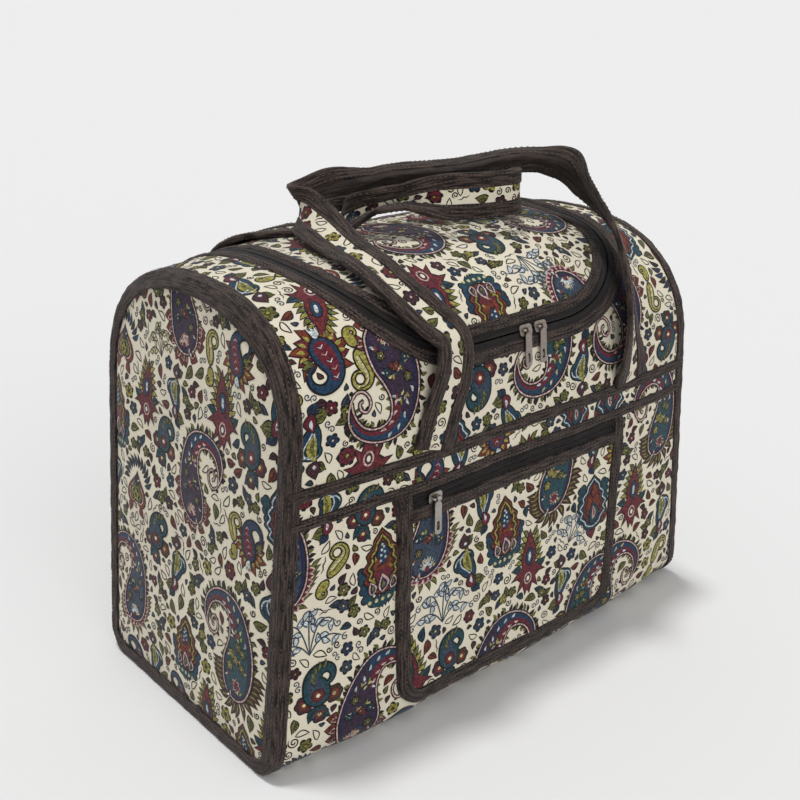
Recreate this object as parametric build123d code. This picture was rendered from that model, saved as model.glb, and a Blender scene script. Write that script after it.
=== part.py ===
# Travel bag of padded printed cloth: upright walls, a domed top with a U-shaped zipped lid,
# a zipped front pocket, bound edges and two strap handles sewn under the band.
# Millimetres. +X runs along the bag, -Y is the front with the pocket, +Z is up.
# The origin is on the floor under the middle of the bag.
from build123d import *
import os
from functools import cache
from math import atan2, cos, pi, radians, sin

# Body
length = 441.0
depth = 225.0
end_height = 315.0
shoulder_height = 229.0
base_corner = 20.0
wall_bulge = 10.0
top_crown = 16.0
wall = 3.0
end_lean = 5.6
arch_power = 2.2
arch_extra_power = 0.5
bulge_power = 4
arch_steps = 8
station_shares = (-1.04, -0.8, -0.45, 0, 0.45, 0.8, 1.04)

# Tapes that cover the seams
tape = 1.2
end_tape_width = 10.0
band_top = 213.0
upper_tape_width = 9.0
lower_tape_top = 192.0
lower_tape_width = 8.0

# Stiff board that lies on the bottom inside
board = 3.0
board_clearance = 0.2
board_side_gap = 4.0

# Lid and its zip
lid_middle = 4.0
lid_half_width = 137.0
lid_corner = 94.0
lid_back_run = 40.0
lid_zip_height = 276.0
lid_tape_width = 8.0
yoke_tape_width = 8.5
zip_half_width = 5.5
zip_groove = 1.2
zip_sink = 0.4
zip_tape = 1.0
coil_width = 2.4
coil_height = 1.2

# Front pocket
pocket_half_width = 116.0
pocket_bottom = 17.0
pocket_corner = 22.0
pocket_cloth = 2.4
pocket_tape_width = 11.5
pocket_top_tape_width = 10.0
pocket_zip_height = 179.0
pocket_zip_tape = 0.9

# Zip sliders and their pulls
slider_length = 12.0
slider_width = 8.0
slider_cap = 1.2
slider_base = 0.5
slider_post_length = 3.0
slider_corner = 2.5
bail_bar = 0.8
bail_half_length = 3.6
bail_height = 2.4
bail_bend = 1.2
pull_length = 27.0
pull_width = 6.2
pull_thickness = 1.1
pull_eye_wall = 0.9
pull_eye_length = 3.4
pull_slot_width = 2.6
pull_slot_length = 7.0
lid_pull_lean = 15.0
left_lid_slider_x = 6.0
right_lid_slider_x = 21.0
pocket_slider_x = -86.0

# Handles
strap_width = 34.0
strap_cloth = 2.2
strap_tape = 0.9
strap_tape_width = 10.5
grip_fold = 58.0

# Room left between pieces
clearance = 0.3
overrun = 5.0

# Handle routes between the feet. Each station: place as shares of half the length, half the middle depth
# and the middle height, then the direction across the strap, then its lengthwise fold, from 0 to 1.
front_handle_shares = (
    ((-0.354, -1.025, 0.725), (0.94, 0.00, -0.34), 0),
    ((-0.317, -1.038, 0.801), (0.93, 0.05, -0.36), 0),
    ((-0.299, -0.990, 0.864), (0.97, 0.10, -0.10), 0),
    ((-0.354, -0.902, 0.911), (0.85, 0.32, 0.41), 0),
    ((-0.395, -0.788, 0.952), (0.97, 0.18, 0.14), 0),
    ((-0.410, -0.547, 0.995), (0.99, 0.06, 0.08), 0),
    ((-0.399, -0.245, 1.017), (0.97, 0.00, 0.20), 0),
    ((-0.385, -0.033, 1.038), (0.85, 0.05, 0.50), 0),
    ((-0.372, 0.139, 1.054), (0.50, 0.45, 0.74), 0),
    ((-0.354, 0.245, 1.063), (0.20, 0.66, 0.72), 0),
    ((-0.322, 0.300, 1.068), (0.05, 0.66, 0.75), 0),
    ((-0.277, 0.308, 1.074), (0.00, 0.60, 0.80), 0),
    ((-0.218, 0.267, 1.088), (0.00, 0.45, 0.89), 0.1),
    ((-0.154, 0.196, 1.095), (0.00, 0.35, 0.94), 0.5),
    ((-0.091, 0.127, 1.106), (0.00, 0.25, 0.97), 1),
    ((0.193, -0.082, 1.118), (0.00, 0.25, 0.97), 1),
    ((0.481, -0.298, 1.131), (0.00, 0.20, 0.98), 1),
    ((0.526, -0.384, 1.116), (-0.15, 0.00, 0.98), 0.6),
    ((0.549, -0.498, 1.085), (-0.40, -0.20, 0.90), 0.1),
    ((0.551, -0.653, 1.045), (-0.65, -0.40, 0.65), 0),
    ((0.535, -0.816, 1.000), (-0.75, -0.50, 0.43), 0),
    ((0.510, -0.959, 0.934), (-0.80, -0.55, 0.25), 0),
    ((0.501, -1.042, 0.849), (-0.80, -0.60, 0.05), 0),
    ((0.506, -1.068, 0.755), (-0.90, -0.42, 0.00), 0),
    ((0.531, -1.045, 0.695), (-0.98, -0.18, 0.00), 0),
)
rear_handle_shares = (
    ((-0.449, 1.025, 0.740), (-1.00, 0.00, 0.00), 0),
    ((-0.447, 0.963, 0.864), (-1.00, 0.00, 0.00), 0),
    ((-0.444, 0.846, 0.924), (-1.00, 0.00, 0.00), 0),
    ((-0.440, 0.741, 0.956), (-1.00, 0.00, 0.00), 0),
    ((-0.428, 0.588, 0.985), (-0.99, -0.10, 0.00), 0),
    ((-0.381, 0.424, 1.001), (-0.93, -0.36, 0.00), 0),
    ((-0.304, 0.310, 1.006), (-0.72, -0.69, 0.00), 0),
    ((-0.268, 0.188, 1.011), (-0.70, -0.71, -0.04), 0),
    ((-0.236, 0.033, 1.035), (-0.50, -0.62, -0.60), 0.4),
    ((-0.172, -0.065, 1.059), (-0.35, -0.50, -0.80), 1),
    ((-0.100, -0.155, 1.073), (-0.25, -0.40, -0.88), 1),
    ((-0.041, -0.229, 1.080), (-0.15, -0.30, -0.94), 0.6),
    ((0.036, -0.310, 1.082), (-0.05, -0.15, -0.98), 0.1),
    ((0.136, -0.367, 1.080), (0.00, -0.05, -1.00), 0),
    ((0.227, -0.408, 1.080), (0.00, 0.00, -1.00), 0),
    ((0.272, -0.416, 1.080), (0.00, 0.00, -1.00), 0),
    ((0.311, -0.384, 1.079), (0.02, 0.00, -1.00), 0),
    ((0.331, -0.318, 1.073), (0.10, 0.00, -0.99), 0),
    ((0.345, -0.229, 1.054), (0.40, 0.05, -0.91), 0),
    ((0.358, -0.106, 1.038), (0.82, 0.00, -0.57), 0),
    ((0.381, 0.065, 1.022), (0.94, -0.10, -0.30), 0),
    ((0.417, 0.278, 1.011), (0.98, -0.15, -0.08), 0),
    ((0.449, 0.506, 0.996), (0.99, -0.10, 0.00), 0),
    ((0.472, 0.741, 0.956), (1.00, 0.00, 0.00), 0),
    ((0.476, 0.846, 0.924), (1.00, 0.00, 0.00), 0),
    ((0.476, 0.963, 0.864), (1.00, 0.00, 0.00), 0),
    ((0.476, 1.025, 0.740), (1.00, 0.00, 0.00), 0),
)
front_feet_shares = (-0.390, 0.549)
rear_feet_shares = (-0.449, 0.476)


# Shape of the body
def fullness(x):
    return 1 - abs(x / (length / 2)) ** bulge_power


def half_depth(x, grow=0):
    return depth / 2 + wall_bulge * fullness(x) + grow


def arch_rise(x, grow=0):
    return end_height - shoulder_height + top_crown * fullness(x) + grow


def arch_exponent(x):
    return arch_power + arch_extra_power * fullness(x)


def arch_point(x, angle, grow):
    power = 2 / arch_exponent(x)
    side = -1 if cos(angle) > 0 else 1
    y = side * half_depth(x, grow) * abs(cos(angle)) ** power
    return Vector(x, y, shoulder_height + arch_rise(x, grow) * abs(sin(angle)) ** power)


def section(x, grow):
    half = half_depth(x, grow)
    low = tape - grow
    corner = base_corner + grow
    arch = [arch_point(x, pi * i / arch_steps, grow) for i in range(arch_steps + 1)]
    steps = [i / arch_steps for i in range(arch_steps + 1)]
    diagonal = corner * (1 - cos(pi / 4))
    front_low, front_base = Vector(x, -half, low + corner), Vector(x, -half + corner, low)
    back_low, back_base = Vector(x, half, low + corner), Vector(x, half - corner, low)
    return Wire([
        Edge.make_line(front_low, arch[0]),
        Edge.make_spline(arch, parameters=steps),
        Edge.make_line(arch[-1], back_low),
        Edge.make_three_point_arc(back_low, Vector(x, half - diagonal, low + diagonal), back_base),
        Edge.make_line(back_base, front_base),
        Edge.make_three_point_arc(front_base, Vector(x, diagonal - half, low + diagonal), front_low),
    ])


@cache
def body(grow):
    return Solid.make_loft([section(share * length / 2, grow) for share in station_shares])


def end_plane(side):
    lean = radians(end_lean)
    return Plane(origin=(side * length / 2, 0, 0), x_dir=(0, 1, 0), z_dir=(side * cos(lean), 0, sin(lean)))


def below(shape, plane):
    return split(shape, bisect_by=plane, keep=Keep.BOTTOM)


def above(shape, plane):
    return split(shape, bisect_by=plane, keep=Keep.TOP)


def between_ends(shape, inset):
    return below(below(shape, end_plane(-1).offset(-inset)), end_plane(1).offset(-inset))


def level(z):
    return Plane.XY.offset(z)


def behind(shape, y):
    return above(shape, Plane(origin=(0, y, 0), z_dir=(0, 1, 0)))


def before(shape, y):
    return below(shape, Plane(origin=(0, y, 0), z_dir=(0, 1, 0)))


@cache
def layer(low, high):
    return body(high) - body(low)


# Lid: the zip's groove is a U cut square to the dome at the middle of its front run
zip_rise = (lid_zip_height - shoulder_height) / arch_rise(lid_middle)
zip_power = arch_exponent(lid_middle)
zip_reach_share = (1 - zip_rise ** zip_power) ** (1 / zip_power)
lid_tilt = atan2(zip_rise ** (zip_power - 1) / arch_rise(lid_middle),
                 zip_reach_share ** (zip_power - 1) / half_depth(lid_middle))
lid_plane = Plane(origin=(lid_middle, -zip_reach_share * half_depth(lid_middle), lid_zip_height),
                  x_dir=(1, 0, 0), z_dir=(0, -cos(lid_tilt), sin(lid_tilt)))


def lid_block(offset):
    half, corner, far = lid_half_width + offset, lid_corner + offset, length
    bend = corner * (1 - cos(pi / 4))
    edge = [(-half, far), (-half, corner - offset), (corner - half, -offset),
            (half - corner, -offset), (half, corner - offset), (half, far)]
    outline = [
        Line(edge[0], edge[1]),
        ThreePointArc(edge[1], (bend - half, bend - offset), edge[2]),
        Line(edge[2], edge[3]),
        ThreePointArc(edge[3], (half - bend, bend - offset), edge[4]),
        Line(edge[4], edge[5]),
        Line(edge[5], edge[0]),
    ]
    front = extrude(lid_plane * make_face(outline), amount=length, both=True)
    back = Pos(lid_middle, lid_back_run + length / 2, end_height) * Box(2 * half, length, 2 * end_height)
    return front + back


def u_strip(shape, inner, outer):
    return (shape & lid_block(outer)) - lid_block(inner)


# Walls, seams under the tapes
band_seam = band_top - upper_tape_width / 2
base_seam = depth / 2 - base_corner
cloth = between_ends(layer(-wall, 0), wall)
tape_layer = layer(0, tape)


def end_panel(side):
    slab = below(body(0), end_plane(side))
    return above(slab, end_plane(side).offset(-wall))


def end_binding(side):
    skin = above(below(body(tape), end_plane(side).offset(tape)), end_plane(side).offset(-end_tape_width))
    return skin - below(body(0), end_plane(side)) - body(-end_tape_width)


def bottom_panel():
    panel = before(behind(below(cloth, level(shoulder_height)), -base_seam), base_seam)
    pad = Pos(0, 0, tape / 2) * Box(length, 2 * base_seam, tape)
    return panel + between_ends(pad, end_tape_width + clearance)


def base_board():
    low = tape + wall + board_clearance
    plate = Pos(0, 0, low + board / 2) * Box(length, 2 * base_seam - board_side_gap, board)
    return between_ends(plate, wall + board_side_gap)


top_cloth = above(cloth, level(band_seam))
lid_panel = top_cloth & lid_block(-zip_half_width)
top_yoke = top_cloth - lid_block(zip_half_width)
front_panel = below(before(cloth, -base_seam), level(band_seam))
back_panel = below(behind(cloth, base_seam), level(band_seam))


# Tapes
def band_tape(top, width, front):
    strip = above(below(tape_layer, level(top)), level(top - width))
    strip = before(strip, 0) if front else behind(strip, 0)
    return between_ends(strip, end_tape_width + clearance)


top_tapes = above(tape_layer, level(band_top))
lid_edge_tape = u_strip(top_tapes, -zip_half_width - lid_tape_width, -zip_half_width)
yoke_edge_tape = u_strip(top_tapes, zip_half_width, zip_half_width + yoke_tape_width)

# Lid zip: a woven half on each side of the groove, each with its row of coil
half_groove = zip_groove / 2
zip_woven = above(layer(-zip_sink - zip_tape, -zip_sink), level(band_seam))
zip_coil = above(layer(-zip_sink, coil_height - zip_sink), level(band_top))
lid_zip_lid_half = (u_strip(zip_woven, -zip_half_width, -half_groove)
                    + u_strip(zip_coil, -half_groove - coil_width, -half_groove))
lid_zip_yoke_half = (u_strip(zip_woven, half_groove, zip_half_width)
                     + u_strip(zip_coil, half_groove, half_groove + coil_width))

# Front pocket, sewn on below the lower tape
lower_tape_low = lower_tape_top - lower_tape_width
pocket_zip_low = 2 * pocket_zip_height - lower_tape_low
pocket_tape_low = pocket_zip_low - pocket_top_tape_width


def pocket_outline(inset, top):
    half, low, corner = pocket_half_width - inset, pocket_bottom + inset, pocket_corner - inset
    bend = corner * (1 - cos(pi / 4))
    outline = [
        Line((-half, top), (-half, low + corner)),
        ThreePointArc((-half, low + corner), (bend - half, low + bend), (corner - half, low)),
        Line((corner - half, low), (half - corner, low)),
        ThreePointArc((half - corner, low), (half - bend, low + bend), (half, low + corner)),
        Line((half, low + corner), (half, top)),
        Line((half, top), (-half, top)),
    ]
    return extrude(Plane.XZ * make_face(outline), amount=depth)


def pocket_strip(low, high, bottom, top):
    half = pocket_half_width - pocket_tape_width
    width, height = 2 * half, top - bottom
    block = Pos(0, -depth / 2, (top + bottom) / 2) * Box(width, depth, height)
    return layer(low, high) & block


pocket_panel = layer(0, pocket_cloth) & pocket_outline(tape, pocket_zip_low)
pocket_frame = layer(0, pocket_cloth + tape) & pocket_outline(0, lower_tape_low)
pocket_binding = pocket_frame - pocket_outline(pocket_tape_width, band_top) - pocket_panel
pocket_top_tape = pocket_strip(pocket_cloth, pocket_cloth + tape, pocket_tape_low, pocket_zip_low)
pocket_zip_level = pocket_cloth - pocket_zip_tape
pocket_zip_upper_half = (
    pocket_strip(pocket_zip_level, pocket_cloth, pocket_zip_height + half_groove, lower_tape_low)
    + pocket_strip(pocket_cloth, pocket_cloth + coil_height, pocket_zip_height + half_groove,
                   pocket_zip_height + half_groove + coil_width))
pocket_zip_lower_half = (
    pocket_strip(pocket_zip_level, pocket_cloth, pocket_zip_low, pocket_zip_height - half_groove)
    + pocket_strip(pocket_cloth, pocket_cloth + coil_height, pocket_zip_height - half_groove - coil_width,
                   pocket_zip_height - half_groove))


# Sliders: a cap over the coil and a base under the woven tape, joined by a post in the groove
def slider(seat, cap_low, base_high):
    plate = RectangleRounded(slider_length, slider_width, slider_corner)
    cap = extrude(seat.offset(cap_low) * plate, slider_cap)
    base = extrude(seat.offset(base_high) * plate, -slider_base)
    cap_high, base_low = cap_low + slider_cap, base_high - slider_base
    post_shape = Rectangle(slider_post_length, zip_groove - 2 * clearance)
    post = extrude(seat.offset(base_low) * post_shape, cap_high - base_low)
    root, bar = cap_low + slider_cap / 2, cap_high + bail_height
    route = FilletPolyline((-bail_half_length, 0, root), (-bail_half_length, 0, bar),
                           (bail_half_length, 0, bar), (bail_half_length, 0, root), radius=bail_bend)
    bail = sweep(Plane(origin=route @ 0, z_dir=route % 0) * Circle(bail_bar), path=route)
    return cap + base + post + seat * bail


def pull(seat, bar, lean):
    eye_bore = bail_bar + clearance
    eye_radius = eye_bore + pull_eye_wall
    hinge = seat * Pos(0, 0, bar) * Rot(lean, 0, 0)
    plate_top = bail_bar + clearance + bail_height / 2
    plate_length = pull_length - plate_top
    tab = Pos(0, -plate_top - plate_length / 2, 0) * RectangleRounded(
        pull_width, plate_length, pull_width / 2 - clearance)
    slot_middle = pull_length - pull_width / 2 - pull_slot_length / 2
    tab -= Pos(0, -slot_middle, 0) * SlotOverall(pull_slot_length, pull_slot_width, rotation=90)
    neck_length = plate_top + pull_width / 2
    neck = Pos(0, -neck_length / 2, 0) * Rectangle(pull_eye_length, neck_length)
    plate = extrude(tab + neck, pull_thickness / 2, both=True)
    eye = Rot(0, 90, 0) * Cylinder(eye_radius, pull_eye_length)
    hollow = Rot(0, 90, 0) * Cylinder(eye_bore, pull_eye_length + overrun)
    return hinge * (plate + eye - hollow)


lid_cap_low = coil_height - zip_sink + clearance
lid_base_high = -zip_sink - zip_tape - clearance
lid_bar = lid_cap_low + slider_cap + bail_height
pocket_cap_low = pocket_cloth + coil_height + clearance
pocket_base_high = slider_base + clearance
pocket_bar = pocket_cap_low + slider_cap + bail_height


def lid_seat(x):
    place = Vector(x, lid_plane.origin.Y, lid_plane.origin.Z)
    return Plane(origin=place, x_dir=lid_plane.x_dir, z_dir=lid_plane.z_dir)


left_lid_seat, right_lid_seat = lid_seat(left_lid_slider_x), lid_seat(right_lid_slider_x)
pocket_seat = Plane(origin=(pocket_slider_x, -half_depth(0), pocket_zip_height),
                    x_dir=(1, 0, 0), z_dir=(0, -1, 0))

# Handles: a cloth strap with a tape folded over each edge, half folded lengthwise at the grip
middle_depth, middle_height = half_depth(0), end_height + top_crown


def foot(x, side):
    lift = strap_cloth / 2 + strap_tape + clearance
    return Vector(x, side * half_depth(x, lift), band_top + clearance)


def stations(shares, feet, side):
    places = [Vector(x * length / 2, y * middle_depth, z * middle_height) for (x, y, z), _, _ in shares]
    places = [foot(feet[0] * length / 2, side)] + places + [foot(feet[1] * length / 2, side)]
    crossings = [(-side, 0, 0)] + [across for _, across, _ in shares] + [(side, 0, 0)]
    folds = [0] + [fold for _, _, fold in shares] + [0]
    steps = [after - before for before, after in zip(places, places[2:])]
    steps = [Vector(0, 0, 1)] + steps + [Vector(0, 0, -1)]
    frames = []
    for place, step, across, fold in zip(places, steps, crossings, folds):
        ahead, wide = step.normalized(), Vector(*across)
        wide = (wide - ahead * wide.dot(ahead)).normalized()
        frames.append((place, wide, ahead.cross(wide), radians(grip_fold) * fold))
    return frames


def strap_loft(frames, outline):
    rings = []
    for place, wide, facing, fold in frames:
        ring = []
        for u, v in outline:
            side = (u > 0) - (u < 0)
            across = u * cos(fold) + side * v * sin(fold)
            out = v * cos(fold) - abs(u) * sin(fold) if side else v
            ring.append(place + wide * across + facing * out)
        rings.append(ring)
    faces = [Face(Wire.make_polygon(ring, close=True)) for ring in (rings[0], rings[-1])]
    for near, far in zip(rings, rings[1:]):
        for i in range(len(near)):
            edges = [Edge.make_line(ring[i - 1], ring[i]) for ring in (near, far)]
            faces.append(Face.make_surface_from_curves(*edges))
    return Solid(Shell(faces))


def strap(frames):
    half, thick = strap_width / 2 - strap_tape, strap_cloth / 2
    return strap_loft(frames, [(-half, -thick), (0, -thick), (half, -thick), (half, thick), (0, thick), (-half, thick)])


def strap_binding(frames, side):
    edge, inner = side * strap_width / 2, side * (strap_width / 2 - strap_tape_width)
    bottom = side * (strap_width / 2 - strap_tape)
    low, high = strap_cloth / 2, strap_cloth / 2 + strap_tape
    return strap_loft(frames, [(inner, low), (inner, high), (edge, high), (edge, -high),
                               (inner, -high), (inner, -low), (bottom, -low), (bottom, low)])


front_frames = stations(front_handle_shares, front_feet_shares, -1)
rear_frames = stations(rear_handle_shares, rear_feet_shares, 1)

nodes = {
    "left_end_panel": end_panel(-1),
    "right_end_panel": end_panel(1),
    "front_panel": front_panel,
    "back_panel": back_panel,
    "bottom_panel": bottom_panel(),
    "base_board": base_board(),
    "top_yoke": top_yoke,
    "lid_panel": lid_panel,
    "left_end_binding": end_binding(-1),
    "right_end_binding": end_binding(1),
    "front_upper_tape": band_tape(band_top, upper_tape_width, True),
    "front_lower_tape": band_tape(lower_tape_top, lower_tape_width, True),
    "back_tape": band_tape(band_top, upper_tape_width, False),
    "lid_edge_tape": lid_edge_tape,
    "yoke_edge_tape": yoke_edge_tape,
    "lid_zip_lid_half": lid_zip_lid_half,
    "lid_zip_yoke_half": lid_zip_yoke_half,
    "left_lid_slider": slider(left_lid_seat, lid_cap_low, lid_base_high),
    "right_lid_slider": slider(right_lid_seat, lid_cap_low, lid_base_high),
    "left_lid_pull": pull(left_lid_seat, lid_bar, lid_pull_lean),
    "right_lid_pull": pull(right_lid_seat, lid_bar, lid_pull_lean),
    "pocket_panel": pocket_panel,
    "pocket_binding": pocket_binding,
    "pocket_top_tape": pocket_top_tape,
    "pocket_zip_upper_half": pocket_zip_upper_half,
    "pocket_zip_lower_half": pocket_zip_lower_half,
    "pocket_slider": slider(pocket_seat, pocket_cap_low, pocket_base_high),
    "pocket_pull": pull(pocket_seat, pocket_bar, 0),
    "front_handle_strap": strap(front_frames),
    "front_handle_left_binding": strap_binding(front_frames, -1),
    "front_handle_right_binding": strap_binding(front_frames, 1),
    "rear_handle_strap": strap(rear_frames),
    "rear_handle_left_binding": strap_binding(rear_frames, -1),
    "rear_handle_right_binding": strap_binding(rear_frames, 1),
}

os.makedirs("parts", exist_ok=True)
for name, shape in nodes.items():
    export_step(shape, f"parts/{name}.step")
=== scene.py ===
import math
import random

import bpy
import numpy as np
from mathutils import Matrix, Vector, geometry


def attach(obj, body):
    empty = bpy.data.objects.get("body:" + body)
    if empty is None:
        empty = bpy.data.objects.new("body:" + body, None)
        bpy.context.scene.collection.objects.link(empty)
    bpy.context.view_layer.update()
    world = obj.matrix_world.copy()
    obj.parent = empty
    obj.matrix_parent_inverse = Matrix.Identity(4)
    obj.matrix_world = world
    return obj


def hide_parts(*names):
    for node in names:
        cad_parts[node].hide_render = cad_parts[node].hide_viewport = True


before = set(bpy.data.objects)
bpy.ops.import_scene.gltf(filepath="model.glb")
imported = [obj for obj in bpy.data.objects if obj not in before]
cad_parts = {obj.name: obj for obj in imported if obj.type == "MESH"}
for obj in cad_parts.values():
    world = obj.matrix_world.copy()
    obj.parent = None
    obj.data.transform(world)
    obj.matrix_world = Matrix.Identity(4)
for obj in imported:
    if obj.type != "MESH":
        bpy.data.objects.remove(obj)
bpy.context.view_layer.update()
scene = bpy.context.scene
scene.view_settings.view_transform = "Standard"
dice = random.Random(7)

# Sizes of the bag in mm, as in the part's source
METRE = 0.001
length, depth, end_height, shoulder_height = 441.0, 225.0, 315.0, 229.0
base_corner, wall_bulge, top_crown = 20.0, 10.0, 16.0
wall, tape = 3.0, 1.2
end_lean = math.radians(5.6)
arch_power, arch_extra_power, bulge_power = 2.2, 0.5, 4
end_tape_width = 10.0
band_top, upper_tape_width = 213.0, 9.0
lower_tape_top, lower_tape_width = 192.0, 8.0
lid_middle, lid_half_width, lid_corner = 4.0, 137.0, 94.0
lid_tape_width, yoke_tape_width, zip_half_width = 8.0, 8.5, 5.5
lid_origin = np.array([4.0, -116.67, 276.0])
lid_up = np.array([0.0, 0.330, 0.944])
pocket_half_width, pocket_bottom, pocket_corner = 116.0, 17.0, 22.0
pocket_cloth = 2.4
pocket_top_tape_low, pocket_zip_low, pocket_zip_top = 164.0, 174.0, 184.0
strap_width, strap_cloth, strap_tape, strap_tape_width = 34.0, 2.2, 0.9, 10.5
grip_fold = math.radians(58)
clearance = 0.3

half_length = length / 2
low = tape + base_corner
end_middle = np.array([0.0, 150.0])
under_run = 102.4
print_lift, print_step = 0.12, 0.055
stitch_inset = 1.4


# The cloth wrapped over front, top and back: x along the bag, a the way up the front and over the top
def fullness(x):
    return 1 - np.minimum(np.abs(x) / half_length, 1) ** bulge_power


def half_depth(x):
    return depth / 2 + wall_bulge * fullness(x)


def arch(x, turn):
    share = 2 / (arch_power + arch_extra_power * fullness(x))
    rise = end_height - shoulder_height + top_crown * fullness(x)
    y = half_depth(x) * np.sign(np.cos(turn)) * np.abs(np.cos(turn)) ** share
    return -y, shoulder_height + rise * np.abs(np.sin(turn)) ** share


turns = np.linspace(0, np.pi, 1441)
arch_points = np.stack(arch(np.zeros_like(turns), turns), 1)
arch_run = np.r_[0, np.cumsum(np.linalg.norm(np.diff(arch_points, axis=0), axis=1))]
over_run = 2 * shoulder_height + arch_run[-1]
bottom_run = low - base_corner * np.pi / 2


def section(x, a):
    x, a = np.broadcast_arrays(np.asarray(x, float), np.asarray(a, float))
    back = a > over_run / 2
    up = np.where(back, over_run - a, a)
    half = half_depth(x)
    y_arch, z_arch = arch(x, np.interp(up, shoulder_height + arch_run, turns))
    bend = np.clip((low - up) / base_corner, 0, np.pi / 2)
    under = np.clip((bottom_run - up) / (half_depth(0) - base_corner), 0, 1)
    y_wall = -half + base_corner * (1 - np.cos(bend)) + under * (half - base_corner)
    z_wall = np.where(up < low, low - base_corner * np.sin(bend), up)
    y = np.where(up > shoulder_height, y_arch, y_wall)
    z = np.where(up > shoulder_height, z_arch, z_wall)
    return np.stack([x, np.where(back, -y, y), z], -1)


def end_x(a):
    x = np.full(np.shape(a), half_length)
    for _ in range(4):
        x = half_length - section(x, a)[..., 2] * math.tan(end_lean)
    return x


def slack(x, a):
    """How far the soft cloth stands in or out, in mm, nothing at the end seams."""
    free = np.clip((end_x(a) - np.abs(x)) / 30, 0, 1)
    waves = (0.9 * np.sin(x / 31 + a / 47) + 0.7 * np.sin(x / 19 - a / 23 + 1.3)
             + 0.6 * np.sin(x / 53 + a / 15 + 0.6) + 0.25 * np.sin(x / 8.5 + a / 26))
    return free * waves * 0.8


def wrap(x, a, lift=0.0):
    e = 0.4
    along = section(x + e, a) - section(x - e, a)
    upward = section(x, a + e) - section(x, a - e)
    out = np.cross(along, upward)
    out /= np.linalg.norm(out, axis=-1, keepdims=True)
    return section(x, a) + out * (np.asarray(lift) + slack(x, a))[..., None]


rim_run = np.linspace(-12, over_run / 2, 300)
end_rim = section(end_x(rim_run), rim_run)


def end_place(side):
    """Places on an end panel: h to the right as seen from outside, z up, lift outwards."""
    def place(h, z, lift=0.0):
        h, z, lift = np.broadcast_arrays(np.asarray(h, float), np.asarray(z, float), np.asarray(lift, float))
        free = np.clip((np.minimum(np.interp(z, end_rim[:, 2], -end_rim[:, 1]) - np.abs(h), z) - 8) / 26, 0,
                       1)
        lift = lift + np.sin(free * np.pi / 2) * (3.0 + 0.8 * np.sin(h / 17 + z / 29) + 0.7
                                                  * np.sin(h / 33 - z / 14 + 1))
        x = half_length - z * math.tan(end_lean) + lift * math.cos(end_lean)
        return np.stack([side * x, side * h, z + lift * math.sin(end_lean)], -1)
    return place


def lid_height(x, y):
    """The way up the front, for a place at height y in the lid's own plane."""
    a = np.linspace(200, over_run / 2 + 30, 400)
    out = []
    for xi, yi in zip(np.atleast_1d(x), np.atleast_1d(y)):
        up = (section(np.full_like(a, xi), a) - lid_origin) @ lid_up
        top = int(np.argmax(up))
        out.append(np.interp(yi, up[:top], a[:top]))
    return np.array(out)


def lid_line(r):
    """The U of the lid's zip, r outside its groove, from the band at the back round to the band again."""
    half, corner = lid_half_width + r, lid_corner + r
    turn = np.linspace(0.06, np.pi / 2, 26)
    x = np.r_[-half + corner * (1 - np.cos(turn)), np.linspace(corner - half, half - corner, 24)[1:-1]]
    y = np.r_[lid_corner - corner * np.sin(turn), np.full(22, -r)]
    x = np.r_[x, half - corner * (1 - np.cos(turn[::-1]))]
    y = np.r_[y, lid_corner - corner * np.sin(turn[::-1])]
    a = lid_height(lid_middle + x, y)
    leg = np.linspace(over_run - band_top, a[0] + 3, 70)
    x = lid_middle + np.r_[np.full(70, -half), x, np.full(70, half)]
    return x, np.r_[leg, a, leg[::-1]]


def lid_offset(x, a):
    """How far a place of the top lies outside the zip's groove."""
    up = (section(x, a) - lid_origin) @ lid_up
    up = np.where(a > over_run / 2, 2 * lid_corner, up)
    across = np.abs(x - lid_middle) - (lid_half_width - lid_corner)
    down = lid_corner - up
    round_part = np.hypot(across, down)
    return np.where((across > 0) & (down > 0), round_part, np.maximum(across, down)) - lid_corner


# Meshes: a piece stands on the floor, never through it
def piece(name, verts, faces, materials, nodes=(), flat=None, pick=None):
    mesh = bpy.data.meshes.new(name)
    standing = np.maximum(verts, (-np.inf, -np.inf, 0.0))
    mesh.from_pydata((standing * METRE).tolist(), [], [tuple(map(int, f)) for f in faces])
    if flat is not None:
        layer = mesh.uv_layers.new(name="cloth")
        index = np.zeros(len(mesh.loops), np.int32)
        mesh.loops.foreach_get("vertex_index", index)
        layer.data.foreach_set("uv", (np.asarray(flat) * METRE)[index].astype(np.float32).ravel())
    for m in materials:
        mesh.materials.append(m)
    if pick is not None:
        mesh.polygons.foreach_set("material_index", np.asarray(pick, np.int32))
    mesh.polygons.foreach_set("use_smooth", np.full(len(mesh.polygons), True))
    mesh.update()
    obj = bpy.data.objects.new(name, mesh)
    scene.collection.objects.link(obj)
    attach(obj, "bag")
    if nodes:
        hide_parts(*nodes)
    return obj


def grid_faces(rows, columns, ring=False):
    r, c = np.meshgrid(np.arange(rows - 1), np.arange(columns - (0 if ring else 1)), indexing="ij")
    i = r * columns + c
    j = r * columns + (c + 1) % columns
    return np.stack([i, j, j + columns, i + columns], -1).reshape(-1, 4)


def thicken(obj, thick):
    solid = obj.modifiers.new("cloth_thickness", "SOLIDIFY")
    solid.thickness = thick * METRE
    solid.offset = -1


# Materials
def linear(code):
    share = [int(code[i:i + 2], 16) / 255 for i in (1, 3, 5)]
    return [c / 12.92 if c <= 0.04045 else ((c + 0.055) / 1.055) ** 2.4 for c in share] + [1.0]


def node(tree, kind, settings=None, values=None, links=None):
    n = tree.nodes.new(kind)
    for key, value in (settings or {}).items():
        setattr(n, key, value)
    for key, value in (values or {}).items():
        n.inputs[key].default_value = value
    for key, source in (links or {}).items():
        tree.links.new(source, n.inputs[key])
    return n


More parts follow.
